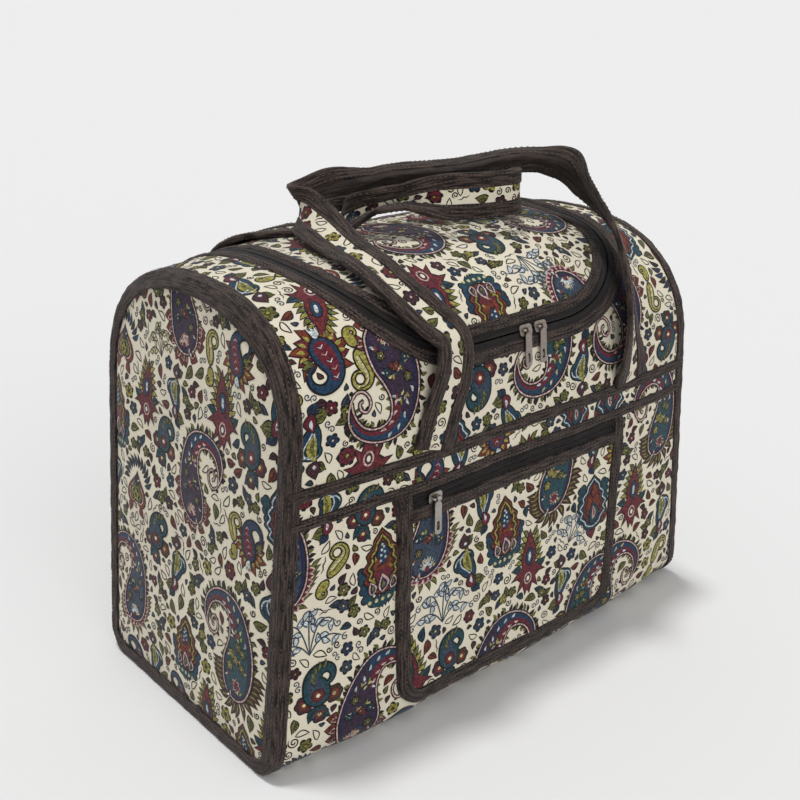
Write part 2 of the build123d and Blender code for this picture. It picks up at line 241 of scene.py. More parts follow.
def cloth_material(name, *tones, thread=0.45, rough=0.9, sheen=0.15, patch=90.0, spread_share=0.18):
    """Woven cloth: the eye gets crossing threads half a millimetre apart and a mottled dye of a few tones."""
    m = bpy.data.materials.new(name)
    m.use_nodes = True
    t = m.node_tree
    shader = t.nodes["Principled BSDF"]
    flat = node(t, "ShaderNodeUVMap", {"uv_map": "cloth"}).outputs[0]
    mottle = node(t, "ShaderNodeTexNoise", values={"Scale": patch, "Detail": 4.0, "Roughness": 0.6},
                  links={"Vector": flat})
    slub = node(t, "ShaderNodeTexNoise", values={"Scale": 1.0, "Detail": 2.0}, links={"Vector": node(
        t, "ShaderNodeMapping", values={"Scale": (350.0, 2200.0, 1.0)}, links={"Vector": flat}).outputs[0]})
    both = node(t, "ShaderNodeMix", {"data_type": "FLOAT"}, {0: 0.5},
                {2: mottle.outputs[0], 3: slub.outputs[0]})
    ramp = node(t, "ShaderNodeValToRGB", links={"Fac": both.outputs[0]})
    stops = ramp.color_ramp.elements
    stops[1].position = 0.5 + spread_share
    for _ in tones[2:]:
        stops.new(0.5)
    for k, tone in enumerate(tones):
        stops[k].position = 0.5 - spread_share + 2 * spread_share * k / (len(tones) - 1)
        stops[k].color = linear(tone)
    t.links.new(ramp.outputs[0], shader.inputs["Base Color"])
    turns_a_metre = 0.1 * math.tau / (thread * METRE) / 2
    warp = node(t, "ShaderNodeTexWave", {"bands_direction": "X"}, {"Scale": turns_a_metre},
                {"Vector": flat})
    weft = node(t, "ShaderNodeTexWave", {"bands_direction": "Y"}, {"Scale": turns_a_metre},
                {"Vector": flat})
    weave = node(t, "ShaderNodeMath", {"operation": "MAXIMUM"},
                 links={0: warp.outputs["Fac"], 1: weft.outputs["Fac"]})
    bump = node(t, "ShaderNodeBump", values={"Strength": 0.35, "Distance": 0.0002},
                links={"Height": weave.outputs[0]})
    t.links.new(bump.outputs[0], shader.inputs["Normal"])
    shader.inputs["Roughness"].default_value = rough
    shader.inputs["Sheen Weight"].default_value = sheen
    shader.inputs["Specular IOR Level"].default_value = 0.2
    return m


def tape_material(name, dark, light, rough=0.75):
    """Binding tape: the eye gets lighter streaks along the tape and fine ribs across it."""
    m = bpy.data.materials.new(name)
    m.use_nodes = True
    t = m.node_tree
    shader = t.nodes["Principled BSDF"]
    flat = node(t, "ShaderNodeUVMap", {"uv_map": "cloth"}).outputs[0]
    streak = node(t, "ShaderNodeTexNoise", values={"Scale": 1.0, "Detail": 3.0, "Roughness": 0.6}, links={
        "Vector": node(t, "ShaderNodeMapping", values={"Scale": (70.0, 700.0, 1.0)},
                       links={"Vector": flat}).outputs[0]})
    ramp = node(t, "ShaderNodeValToRGB", links={"Fac": streak.outputs[0]})
    ramp.color_ramp.elements[0].position, ramp.color_ramp.elements[1].position = 0.4, 0.68
    ramp.color_ramp.elements[0].color, ramp.color_ramp.elements[1].color = linear(dark), linear(light)
    t.links.new(ramp.outputs[0], shader.inputs["Base Color"])
    rib = node(t, "ShaderNodeTexWave", {"bands_direction": "X"}, {"Scale": 0.05 * math.tau / 0.0007},
               {"Vector": flat})
    height = node(t, "ShaderNodeMath", {"operation": "MULTIPLY_ADD"}, {1: 0.35},
                  {0: rib.outputs["Fac"], 2: streak.outputs[0]})
    bump = node(t, "ShaderNodeBump", values={"Strength": 0.8, "Distance": 0.0005},
                links={"Height": height.outputs[0]})
    t.links.new(bump.outputs[0], shader.inputs["Normal"])
    shader.inputs["Roughness"].default_value = rough
    shader.inputs["Sheen Weight"].default_value = 0.1
    shader.inputs["Specular IOR Level"].default_value = 0.15
    return m


def metal_material(name, dark, light, rough):
    """Plated zip metal: the eye gets a dull shine with small worn lighter specks."""
    m = bpy.data.materials.new(name)
    m.use_nodes = True
    t = m.node_tree
    shader = t.nodes["Principled BSDF"]
    where = node(t, "ShaderNodeTexCoord").outputs["Object"]
    wear = node(t, "ShaderNodeTexNoise", values={"Scale": 400.0, "Detail": 4.0}, links={"Vector": where})
    ramp = node(t, "ShaderNodeValToRGB", links={"Fac": wear.outputs[0]})
    ramp.color_ramp.elements[0].color, ramp.color_ramp.elements[1].color = linear(dark), linear(light)
    t.links.new(ramp.outputs[0], shader.inputs["Base Color"])
    bump = node(t, "ShaderNodeBump", values={"Strength": 0.2, "Distance": 0.0001},
                links={"Height": wear.outputs[0]})
    t.links.new(bump.outputs[0], shader.inputs["Normal"])
    shader.inputs["Metallic"].default_value = 1.0
    shader.inputs["Roughness"].default_value = rough
    return m


cream_cloth = cloth_material("cream_jacquard_cloth", "#c6bfa6", "#e0dac4", "#d8cdb9", "#dddcd1", patch=26.0,
                             spread_share=0.2)
brown_tape = tape_material("brown_binding_tape", "#0f0a0a", "#54463f")
lining_tape = tape_material("brown_strap_lining", "#1b1514", "#40342f")
zip_weave = tape_material("zip_weave", "#0a0606", "#211818", rough=0.7)
base_cloth = cloth_material("brown_base_cloth", "#352b29", "#453936")
thread = cloth_material("brown_sewing_thread", "#3a302d", "#75665f", thread=0.3)
dark_metal = metal_material("gunmetal_zip_plating", "#7c726c", "#a59b94", 0.42)
nickel = metal_material("nickel_zip_plating", "#8d8781", "#b7b1aa", 0.32)
base_board = cloth_material("grey_base_board", "#3a3735", "#4a4744")


# Dyes of the woven pattern, each a cloth of its own colour
def dye(name, code):
    """A thread colour of the woven pattern, mottled between a darker and a lighter tone."""
    tones = [[min(255, int(int(code[k:k + 2], 16) * share)) for k in (1, 3, 5)]
             for share in (0.25, 0.8, 1.15)]
    return cloth_material(name + "_pattern_thread", *("#%02x%02x%02x" % tuple(t) for t in tones), patch=420.0,
                          spread_share=0.15)


dyes = {name: dye(name, code) for name, code in (
    ("black", "#1a1314"), ("navy", "#27294b"), ("blue", "#21405e"), ("purple", "#3b2a42"),
    ("teal", "#1f4a55"),
    ("rust", "#803826"), ("crimson", "#702331"), ("maroon", "#4d2731"), ("olive", "#74743a"),
    ("brown", "#4d3326"),
    ("pink", "#dcb9b3"), ("ice", "#d6e0e2"), ("gold", "#aaa04a"), ("straw", "#d8cd9a"), ("slate", "#3c4c5e"))}
dyes["cream"] = cream_cloth
dye_names = list(dyes)


def smooth_through(points, spans=8):
    """A smooth line through the points, evenly paced between each two."""
    points = np.asarray(points, float)
    gap = np.maximum(np.linalg.norm(np.diff(points[:, :3], axis=0), axis=1), 1e-6)
    at = np.r_[0, np.cumsum(gap)]
    slope = np.gradient(points, at, axis=0)
    t = np.linspace(0, 1, spans, endpoint=False)[:, None]
    out = []
    for i, g in enumerate(gap):
        out.append((2 * t ** 3 - 3 * t ** 2 + 1) * points[i] + (t ** 3 - 2 * t ** 2 + t) * g * slope[i]
                   + (3 * t ** 2 - 2 * t ** 3) * points[i + 1] + (t ** 3 - t ** 2) * g * slope[i + 1])
    return np.vstack(out + [points[-1:]])


# The pattern's motifs: flat shapes in mm, each a colour and a layer
def inside(points, outline):
    x, y = points[:, 0][:, None], points[:, 1][:, None]
    x0, y0 = outline[:, 0], outline[:, 1]
    x1, y1 = np.roll(x0, -1), np.roll(y0, -1)
    with np.errstate(divide="ignore", invalid="ignore"):
        cross = ((y0 > y) != (y1 > y)) & (x < (x1 - x0) * (y - y0) / (y1 - y0) + x0)
    return cross.sum(1) % 2 == 1


def field(colour, layer, outline, mesh_size=5.0):
    """A filled shape."""
    outline = np.asarray(outline, float)
    lo, hi = outline.min(0), outline.max(0)
    gx, gy = np.meshgrid(np.arange(lo[0] + mesh_size / 2, hi[0], mesh_size),
                         np.arange(lo[1] + mesh_size / 2, hi[1], mesh_size))
    points = np.stack([gx.ravel(), gy.ravel()], 1)
    points = points[inside(points, outline)] if (hi - lo).min() > 9 else points[:0]
    verts, _, faces, _, _, _ = geometry.delaunay_2d_cdt(
        [Vector(p) for p in np.vstack([outline, points])], [], [list(range(len(outline)))], 1, 1e-4)
    verts = np.array([(v.x, v.y) for v in verts])
    return [(colour, layer, verts, np.array([f for f in faces if len(f) == 3], int).reshape(-1, 3))]


def band(colour, layer, middle, aside, inner, outer, columns=1):
    """A strip along a line, from inner to outer mm aside of it."""
    share = np.linspace(0, 1, columns + 1)[None, :, None]
    inner, outer = np.broadcast_to(inner, len(middle)), np.broadcast_to(outer, len(middle))
    away = inner[:, None, None] * (1 - share) + outer[:, None, None] * share
    verts = (middle[:, None, :] + aside[:, None, :] * away).reshape(-1, 2)
    quads = grid_faces(len(middle), columns + 1)
    return [(colour, layer, verts, np.vstack([quads[:, :3], quads[:, [0, 2, 3]]]))]


def line(colour, layer, path, width, closed=False):
    """A drawn line, pointed at its ends."""
    path = np.asarray(path, float)
    ahead = np.roll(path, -1, axis=0) - np.roll(path, 1, axis=0) if closed else np.gradient(path, axis=0)
    if closed:
        path, ahead = np.vstack([path, path[:1]]), np.vstack([ahead, ahead[:1]])
    ahead /= np.maximum(np.linalg.norm(ahead, axis=1, keepdims=True), 1e-9)
    n = np.arange(len(path))
    taper = np.minimum(1, np.minimum(n, n[::-1]) / 2 + 0.3)
    half = np.full(len(path), width / 2) if closed else width / 2 * taper
    return band(colour, layer, path, np.stack([-ahead[:, 1], ahead[:, 0]], 1), -half, half)


def moved(motif, x=0.0, y=0.0, turn=0.0, size=1.0, mirror=False, raise_by=0):
    c, s = math.cos(math.radians(turn)) * size, math.sin(math.radians(turn)) * size
    out = []
    for colour, layer, verts, faces in motif:
        v = verts * (-1, 1) if mirror else verts
        v = np.stack([v[:, 0] * c - v[:, 1] * s + x, v[:, 0] * s + v[:, 1] * c + y], 1)
        out.append((colour, layer + raise_by, v, faces))
    return out


def blob(radius, lobes=5, depth_share=0.3, stretch=1.0, n=20):
    angle = np.linspace(0, 2 * np.pi, n, endpoint=False)
    r = radius * (1 - depth_share + depth_share * np.abs(np.cos(lobes * angle / 2)))
    return np.stack([r * np.cos(angle), r * np.sin(angle) * stretch], 1)


def leaf_shape(size, width, n=7, bend_share=0.12):
    t = np.linspace(0, 1, n)
    side = width / 2 * np.sin(np.pi * t ** 0.8)
    bend = bend_share * size * np.sin(np.pi * t)
    return np.vstack([np.stack([bend - side, t * size], 1), np.stack([bend + side, t * size], 1)[::-1][1:-1]])


def spiral(radius, rounds, start=0.0, n=22):
    angle = np.linspace(0, rounds * 2 * np.pi, n)
    r = radius * np.linspace(1, 0.12, n)
    return np.stack([r * np.cos(angle + start), r * np.sin(angle + start)], 1)


def spot(colour, layer, outline, x=0.0, y=0.0, turn=0.0, rim=0.0):
    """A shape of one colour, on a dark rim of the given width."""
    motif = field(colour, layer + (rim > 0), outline)
    if rim:
        middle, wide = (outline.max(0) + outline.min(0)) / 2, np.ptp(outline, axis=0)
        motif += field("black", layer, middle + (outline - middle) * (1 + 2 * rim / wide))
    return moved(motif, x, y, turn)


# A drop whose neck runs out into a curl: the way along it in shares, and its half width there in shares
drop_shares = ((0, 0.015, 0.04, 0.08, 0.14, 0.2, 0.27, 0.36, 0.45, 0.55, 0.68, 0.8, 0.9, 1),
               (0, 0.38, 0.62, 0.84, 0.98, 1, 0.92, 0.74, 0.56, 0.4, 0.26, 0.16, 0.1, 0.04))


def drop_line(run, curl, n=48):
    t = np.linspace(0, 1, n)
    bend = np.clip((t - 0.3) / 0.7, 0, 1) ** 1.4
    heading = np.pi / 2 + 0.3 * np.sin(np.pi * np.clip(t / 0.5, 0, 1)) - math.radians(curl) * bend
    ahead = np.stack([np.cos(heading), np.sin(heading)], 1)
    return t, np.cumsum(ahead, 0) * run / n, np.stack([-ahead[:, 1], ahead[:, 0]], 1)


def drop(colour, layer, run, fat, curl, grow=0.0, start=0.0, stop=1.0, inner=-1.0, outer=1.0):
    t, middle, aside = drop_line(run, curl)
    half = np.maximum(fat * np.interp(t, *drop_shares) + grow, 0.2)
    if grow > 0:
        middle = middle - (np.array([[0, grow]]) * np.clip(1 - t / 0.04, 0, 1)[:, None])
    keep = (t >= start) & (t <= stop)
    return band(colour, layer, middle[keep], aside[keep], half[keep] * inner, half[keep] * outer, 3)


def flower(size, colour, eye, petals=5):
    """Dark-rimmed petals with a vein each, round an eye."""
    motif = field("black", 1, blob(size + 1.0, petals, 0.28, n=20))
    for k in range(petals):
        turn = 360 * k / petals
        c, s = math.cos(math.radians(turn + 90)), math.sin(math.radians(turn + 90))
        motif += spot(colour, 2, leaf_shape(size * 0.86, size * 0.74, 6, bend_share=0), size * 0.16 * c,
                      size * 0.16 * s, turn)
        motif += line("black", 3, [(size * r * c, size * r * s) for r in (0.3, 0.55, 0.8)], 0.7)
    return motif + spot("black", 4, blob(size * 0.36, n=10)) + spot(eye, 5, blob(size * 0.22, n=8))


def leaf(size, colour, width_share=0.5):
    """A dark-rimmed leaf with a midrib, and side veins on one half."""
    shape = leaf_shape(size, size * width_share)
    motif = spot(colour, 1, shape, rim=1.0)
    for k in (0.3, 0.5, 0.7):
        motif += line("black", 3, [(0.11 * size, k * size - 1), (0.2 * size, k * size),
                                   (0.3 * size, k * size + 1.4)], 0.8)
    return motif + line("black", 3, [(0.1 * size, 0.1 * size), (0.12 * size, 0.5 * size),
                                     (0.03 * size, 0.9 * size)], 0.9)


def sprig(colour, tint="ice"):
    """A thin branching stem with open leaves and curls, drawn in lines on a pale tint."""
    t = np.linspace(0, 1, 12)
    motif = []
    for lean, high in ((-62, 19), (-30, 27), (4, 31), (34, 26), (64, 19)):
        c, s = math.cos(math.radians(90 - lean)), math.sin(math.radians(90 - lean))
        stem = np.stack([high * (0.75 * t + 0.6 * t ** 3) * c + lean / 24 * t ** 3,
                         high * (1.5 * t - 0.75 * t ** 3) * (s + 0.25) - 6 * t ** 6], 1)
        motif += line(colour, 2, stem, 0.9)
        for at, turn, size in ((4, 55, 7), (6, -60, 7), (8, 150, 8), (10, -160, 8)):
            motif += moved(line(colour, 2, leaf_shape(size, 3.6), 0.75, closed=True), *stem[at],
                           turn=turn - lean)
            motif += spot(tint, 1, leaf_shape(size, 3.6), *stem[at], turn=turn - lean)
        motif += moved(line(colour, 2, spiral(2.8, 1.2, lean), 0.8), *stem[-1])
    return motif


# The large drop's two edges from its foot to its tip, and the curl its tip runs out into
paisley_outer = ((0, 0), (-10, 4), (-17, 14), (-20, 29), (-19, 46), (-15, 59), (-9, 69), (0, 75.5),
                 (9, 77.5), (20, 76.5),
                 (30, 72), (37, 65), (40, 56), (39, 49), (36, 43))
paisley_inner = ((0, 0), (8, 1.5), (14, 7), (16.5, 17), (15, 29), (10, 39), (6.5, 48), (6, 56), (8, 62.5),
                 (13.5, 66),
                 (21, 66.5), (28, 63.5), (33.5, 57), (36, 50), (36, 43))
paisley_curl = ((36, 43), (32.5, 39.5), (28, 39), (23.5, 43), (22.5, 49), (26, 53), (30, 50.5), (30, 46),
                (27, 45.5))


def paisley(kind):
    """The large drop: t runs from its foot to its tip, s across it."""
    path = smooth_through(np.array(paisley_inner[::-1] + paisley_outer[1:]), 5)
    foot = (len(paisley_inner) - 1) * 5
    edges = []
    for edge in (path[foot:], path[:foot + 1][::-1]):
        run = np.r_[0, np.cumsum(np.linalg.norm(np.diff(edge, axis=0), axis=1))]
        edges.append(np.stack([np.interp(np.linspace(0, run[-1], 81), run, edge[:, i]) for i in (0, 1)], 1))

    def at(t, s):
        outer, inner = (np.array([np.interp(t, np.linspace(0, 1, 81), e[:, i]) for i in (0, 1)]).T
                        for e in edges)
        return (outer + inner) / 2 + (outer - inner) / 2 * np.asarray(s)[..., None]

    def part(colour, layer, t0, t1, s0, s1):
        t = np.linspace(t0, t1, 24)
        return field(colour, layer, np.vstack([at(t, np.full(24, s0)), at(t[::-1], np.full(24, s1))]))

    def beside(t, side):
        edge, across = at(t, np.array(side)), at(t, np.array(side)) - at(t, np.array(0.0))
        across = across / max(np.linalg.norm(across), 1e-6)
        if t < 0.1:
            across = across * t / 0.1 + np.array([0, -1]) * (1 - t / 0.1)
        return edge, across, math.degrees(math.atan2(across[1], across[0])) - 90

    motif = part("navy", 3, 0.0, 0.99, -1, 1)
    motif += part({"brown_fringe": "teal", "rust_fringe": "purple", "pink_fringe": "slate"}[kind], 4, 0.1,
                  0.5, -0.8, 0.72)
    motif += part("blue", 4, 0.52, 0.94, 0.0, 1) + part("crimson", 4, 0.5, 0.94, -1, 0.0)
    outline = np.vstack([edges[0], edges[1][::-1][1:-1]])
    curl = smooth_through(np.array(paisley_curl), 4)
    motif += line("black", 5, outline, 3.2, closed=True) + line("pink", 6, outline, 1.1, closed=True)
    motif += line("black", 5, curl, 3.0) + line("pink", 6, curl, 1.2)
    # dark feathers along the outside, flecks inside the hook
    for k, t in enumerate(np.linspace(0.22, 0.97, 34)):
        edge, across, turn = beside(t, 1.0)
        motif += spot(("black", "olive", "black")[k % 3], k % 2, leaf_shape(dice.uniform(4.5, 7.5), 3.2),
                      *(edge + across * 0.8),
                      turn + dice.uniform(-50, 50))
    for k, t in enumerate(np.linspace(0.2, 0.93, 26)):
        edge, across, turn = beside(t, -1.0)
        motif += spot(("black", "olive")[k % 2], k % 2, leaf_shape(dice.uniform(3.5, 6), 2.8),
                      *(edge + across * 0.8),
                      turn + dice.uniform(-50, 50))
    for k in range(7):
        motif += spot(("black", "olive")[k % 2], 1, blob(1.9, 3, 0.4, n=9),
                      *(curl[4 * k + 3] + (dice.uniform(-2, 2), -1.5)))
    # the fringe round the full end
    roots = [(1.0, t) for t in np.linspace(0.02, 0.22, 8)]
    roots += [(-1.0, t) for t in np.linspace(0.0, 0.26, 9)]
    for side, t in roots:
        edge, across, turn = beside(t, side)
        if kind == "brown_fringe":
            motif += spot("brown", 0, leaf_shape(13, 4.4), *edge, turn + 16, rim=0.9)
            motif += spot("gold", 2, leaf_shape(8, 0.9), *(edge + across * 2), turn + 16)
        elif kind == "rust_fringe":
            if int(t * 100) % 2 == 0:
                motif += spot("rust", 0, leaf_shape(10, 8), *edge, turn + 10, rim=1.0)
                motif += moved(line("black", 2, spiral(2.6, 1.2), 0.9), *(edge + across * 5), turn)
                motif += moved(line("pink", 2, leaf_shape(6, 4), 0.8, closed=True), *edge, turn + 30)
        else:
            motif += moved(line("pink", 4, leaf_shape(6, 4.6), 1.0, closed=True), *edge, turn)
            motif += spot("crimson", 3, leaf_shape(6, 4.6), *edge, turn)
            motif += spot("olive", 0, leaf_shape(10, 2.6), *(edge + across * 4), turn - 30, rim=0.9)
    # flowers in the full end and marks up the neck
    if kind == "brown_fringe":
        for k in range(8):
            motif += spot("pink", 7, leaf_shape(6, 2.8), *at(0.15, np.array(0.0)), 45 * k)
            motif += spot("crimson", 8, leaf_shape(5.2, 1.8), *at(0.15, np.array(0.0)), 45 * k)
        for k, (t, s) in enumerate(((0.26, -0.5), (0.26, 0.35), (0.3, -0.1), (0.34, 0.4), (0.34, -0.45),
                                    (0.38, 0.05))):
            motif += moved(flower(3.6, ("gold", "olive")[k % 2], "straw"), *at(t, np.array(s)), k * 40,
                           raise_by=6)
        motif += spot("rust", 7, blob(2.6, 3, 0.3, n=12), *at(0.45, np.array(0.0)), rim=0.6)
    else:
        pale = {"rust_fringe": "pink", "pink_fringe": "ice"}[kind]
        for k in range(-4, 5):
            motif += spot(pale, 7, leaf_shape(12 - abs(k), 1.7, bend_share=0), *at(0.1, np.array(0.0)),
                          16 * k)
        motif += spot("crimson", 8, blob(2.6, 5, 0.3, n=12), *at(0.11, np.array(0.0)))
        for k, (t, s) in enumerate(((0.24, -0.5), (0.24, 0.5), (0.29, 0.0), (0.33, 0.45), (0.33, -0.5))):
            motif += moved(flower(3.2, ("olive", "teal", "rust")[k % 3], "pink"), *at(t, np.array(s)),
                           k * 40, raise_by=6)
    for k in range(44):
        t, s = 0.06 + 0.44 * ((k * 17) % 44) / 44, ((k * 37) % 13 / 13 - 0.5) * 1.6
        motif += spot(("pink", "gold", "teal", "straw", "rust", "ice", "black")[k % 7], 7,
                      leaf_shape(4.2, 2.0, 5),
                      *at(t, np.array(s)), k * 50)
    for k, t in enumerate(np.linspace(0.44, 0.66, 8)):
        motif += spot(("ice", "pink")[k % 2] if kind != "brown_fringe" else ("straw", "ice")[k % 2], 7,
                      leaf_shape(5, 2.2, 5),
                      *at(t, np.array((0.3, -0.35)[k % 2])), (20, -20)[k % 2] - 60 * (t - 0.44) / 0.2)
    return motif


def ogive(grow, wide=13.5, high=44.0):
    """A pointed outline with a wavy edge, grown by some mm."""
    t = np.linspace(0, 1, 30)
    side = (wide + grow) * np.sin(np.pi * t ** 0.72) ** 0.85 * (1 + 0.12 * np.sin(t * 31))
    y = -high * 0.45 - grow + (high + 2 * grow) * t
    return np.vstack([np.stack([-side, y], 1), np.stack([side, y], 1)[::-1][1:-1]])


def palmette():
    """A tall pointed flower in rings of colour, on rows of rounded and pointed petals."""
    motif = []
    for side in (-1, 1):
        for k in range(4):
            motif += spot(("blue", "teal")[k % 2], 0, blob(4.2, 3, 0.3), side * (15 - k), -2 - 6 * k,
                          30 * k, rim=0.9)
    for k in range(-2, 3):
        motif += spot("teal", 0, leaf_shape(10, 4.6), 5 * k, -20, 180 - 16 * k, rim=0.9)
        motif += spot("straw", 2, blob(1.6, 3, 0.3, n=9), 5 * k, -24)
    motif += field("black", 2, ogive(1.4)) + field("rust", 3, ogive(0))
    motif += line("black", 4, ogive(-2.2), 1.0, closed=True) + line("gold", 4, ogive(-3.6), 1.3, closed=True)
    motif += field("brown", 4, ogive(-4.6)) + line("black", 5, ogive(-5.4), 0.9, closed=True)
    motif += field("rust", 5, ogive(-6.6))
    for k in range(16):
        motif += spot(("gold", "black", "brown")[k % 3], 6, leaf_shape(3.6, 1.6, 5),
                      ((k * 5) % 11 - 5) * 1.5, -10 + 1.5 * k, 40 * k)
    motif += spot("blue", 7, blob(4.6, 4, 0.4, 1.6), 0, 8, rim=0.9)
    for k in range(7):
        motif += spot("ice", 9, blob(1.05, 4, 0.3, n=7), 2.0 * (k % 2 * 2 - 1) * (1 - k / 8), 3.4 + 1.8 * k)
    motif += spot("crimson", 7, blob(7.5, 6, 0.2, 0.45), 0, -6)
    for side in (-1, 0, 1):
        high = 13.5 if side == 0 else 10
        motif += spot("pink", 8, leaf_shape(high, high * 0.62), 7.6 * side - 1, -19, -8 * side, rim=0.7)
        motif += spot("navy", 10, leaf_shape(high * 0.76, high * 0.4), 7.6 * side - 0.8, -18, -8 * side)
        motif += spot("olive", 11, leaf_shape(high * 0.4, high * 0.18), 7.6 * side - 0.4, -16, -8 * side)
    return motif


def mirrored(half_outline):
    half_outline = np.asarray(half_outline, float)
    return np.vstack([half_outline, (half_outline * (-1, 1))[::-1]])


def star():
    """A four-pointed palmette with an eye, between feathery leaves."""
    motif = []
    for side in (-1, 1):
        for k in range(7):
            motif += spot(("olive", "gold")[k % 2], 0, leaf_shape(9, 3.2), side * (3 + k * 0.9), 23 - 4.5 * k,
                          side * (-35 - 8 * k), rim=1.0)
        motif += moved(leaf(11, "teal"), side * 9, -6, side * -70)
    points = np.array([(0.3, 28), (3.2, 20), (6.4, 13), (8, 4), (7, -3), (11, -6), (18, -12), (11.5, -12),
                       (8, -15),
                       (11, -25), (5, -20), (2.4, -29), (0.3, -25)])
    motif += field("black", 2, mirrored(points * (1.12, 1.06))) + field("crimson", 3, mirrored(points))
    motif += line("rust", 4, mirrored(points * (0.72, 0.8)), 1.0, closed=True)
    for k in range(10):
        motif += spot(("black", "maroon")[k % 2], 4, leaf_shape(4, 1.6, 5), ((k * 5) % 7 - 3) * 1.6,
                      -20 + 4 * k, 30 * k)
    eye = blob(1, 2, 0.0)
    motif += spot("blue", 5, eye * (3.7, 7.4), 0.4, 5, rim=1.0) + spot("ice", 7, eye * (1.5, 4.2), 0.4, 5)
    motif += spot("pink", 5, eye * (4.4, 5.6), 0, -15) + spot("maroon", 6, eye * (3.1, 4.2), 0, -15)
    return motif + spot("cream", 7, eye * (1.5, 2.2), 0, -15)


def lily():
    """A slim upright bud between two curled leaves."""
    motif = []
    for mirror in (False, True):
        arm = drop("black", 2, 52, 4.4, 330, 1.1) + drop("teal", 3, 52, 4.4, 330)
        arm += drop("blue", 4, 52, 4.4, 330, 0, 0.1, 0.6, -0.2, 0.8)
        arm += line("ice", 5, drop_line(52, 330)[1][4:34], 1.0)
        motif += moved(arm, -3, -15, -20, mirror=mirror)
        motif += moved(leaf(13, "olive"), 0, -18, 100, mirror=mirror)
        motif += moved(leaf(10, "blue"), 0, -20, 140, mirror=mirror)
        motif += moved(leaf(9, "olive"), 0, 17, 62, mirror=mirror)
    motif += spot("gold", 4, leaf_shape(24, 7.5), -1.4, -8, rim=1.0)
    motif += spot("olive", 6, leaf_shape(17, 3.2), -1, -6)
    motif += spot("crimson", 6, leaf_shape(13, 8), -0.8, -22, rim=1.0)
    motif += spot("ice", 8, leaf_shape(7, 2.6), -0.4, -18)
    motif += spot("maroon", 6, leaf_shape(12, 8.5), -0.6, 14, rim=1.0)
    return motif + spot("ice", 8, blob(1.5, 4, 0.3, n=9), 0, 18)


def small_paisley(kind):
    """A plump drop with a short hook, among flames or flowers."""
    run, _, curl = shape = (58.0, 7.8, 250.0) if kind == "flame" else (56.0, 9.0, 300.0)
    middle = drop_line(run, curl)[1]
    motif = []
    if kind == "flame":
        for k, angle in enumerate(np.linspace(-215, 35, 11)):
            x, y = 7.5 * math.cos(math.radians(angle)), 11 + 8 * math.sin(math.radians(angle))
            motif += spot(("rust", "crimson")[k % 2], 0, leaf_shape((12, 9)[k % 2], 5.4), x, y, angle - 90,
                          rim=1.0)
            motif += spot("gold", 2, leaf_shape(5.5, 2.6), x * 1.3, y - 1, angle - 90)
    else:
        for x, y, size, colour in ((-11, 5, 6.4, "maroon"), (11, 6, 6.4, "brown"), (0, -6, 6.2, "maroon")):
            motif += spot(colour, 0, blob(size, 6, 0.16, n=26), x, y, rim=0.9)
            motif += spot("rust", 2, blob(size * 0.6, 8, 0.3), x, y)
            motif += spot("straw", 3, blob(size * 0.26, 4, 0.3, n=9), x, y)
        motif += moved(leaf(13, "teal"), 0, 0, 140) + moved(leaf(13, "teal"), 0, 0, 215)
    ground, inner = {"flame": ("blue", "crimson")}.get(kind, ("teal", "slate"))
    motif += drop("black", 4, *shape, 1.3) + drop(ground, 7, *shape) + drop(inner, 8, *shape, -2.4, 0.04, 0.5)
    if kind == "flame":
        for k in range(5):
            motif += moved(line(("ice", "pink")[k % 2], 9, [(-2, 0), (0, 2), (2, 0.5)], 1.0),
                           *middle[4 + 4 * k])
        for turn in (-130, -95, -60):
            motif += spot("olive", 3, leaf_shape(7, 3), *middle[-1], turn, rim=0.8)
        for turn in (160, 180, 200):
            motif += spot("ice", 6, leaf_shape(8, 2.6), 0, 2, turn, rim=0.8)
    else:
        motif += spot("maroon", 9, blob(5.6, 8, 0.15), *middle[7])
        motif += spot("rust", 10, blob(3.9, 8, 0.3), *middle[7])
        motif += spot("cream", 11, blob(1.7, 4, 0.3, n=9), *middle[7])
        for k in range(5):
            motif += spot("olive", 8, leaf_shape(6, 2.0), *middle[15 + 3 * k], 30 - 14 * k, rim=0.6)
    return motif


def spade():
    """A pointed heart with a green middle, under a crown of dark feathers."""
    a = np.linspace(0, 2 * np.pi, 40, endpoint=False)
    heart = np.stack([np.sin(a) ** 3 * 14, -(12 * np.cos(a) - 5 * np.cos(2 * a) - 2 * np.cos(3 * a)
                                             - np.cos(4 * a))], 1)
    motif = []
    for k, angle in enumerate(np.linspace(10, 170, 12)):
        c, s = math.cos(math.radians(angle)), math.sin(math.radians(angle))
        motif += spot(("blue", "navy", "black")[k % 3], 0, leaf_shape(11, 3.2), 14 * c, 6 + 15 * s,
                      angle - 70, rim=0.8)
    motif += field("black", 2, heart * 1.16) + field("rust", 3, heart * 1.08) + field("pink", 4, heart * 0.88)
    motif += field("black", 5, heart * 0.8) + field("olive", 6, heart * 0.7)
    motif += spot("navy", 7, leaf_shape(11, 7), 0, 5, rim=0.8)
    motif += moved(flower(5.4, "gold", "crimson"), 0, -3, raise_by=8)
    for k in range(6):
        motif += spot(("teal", "straw")[k % 2], 8, leaf_shape(4, 1.6, 5), 5.5 * math.cos(k),
                      3 - 7 * math.sin(k), 60 * k)
    for side in (-1, 1):
        motif += spot("rust", 2, leaf_shape(10, 5.5), side * 7, -12, 180 + side * 30, rim=1.0)
    return motif


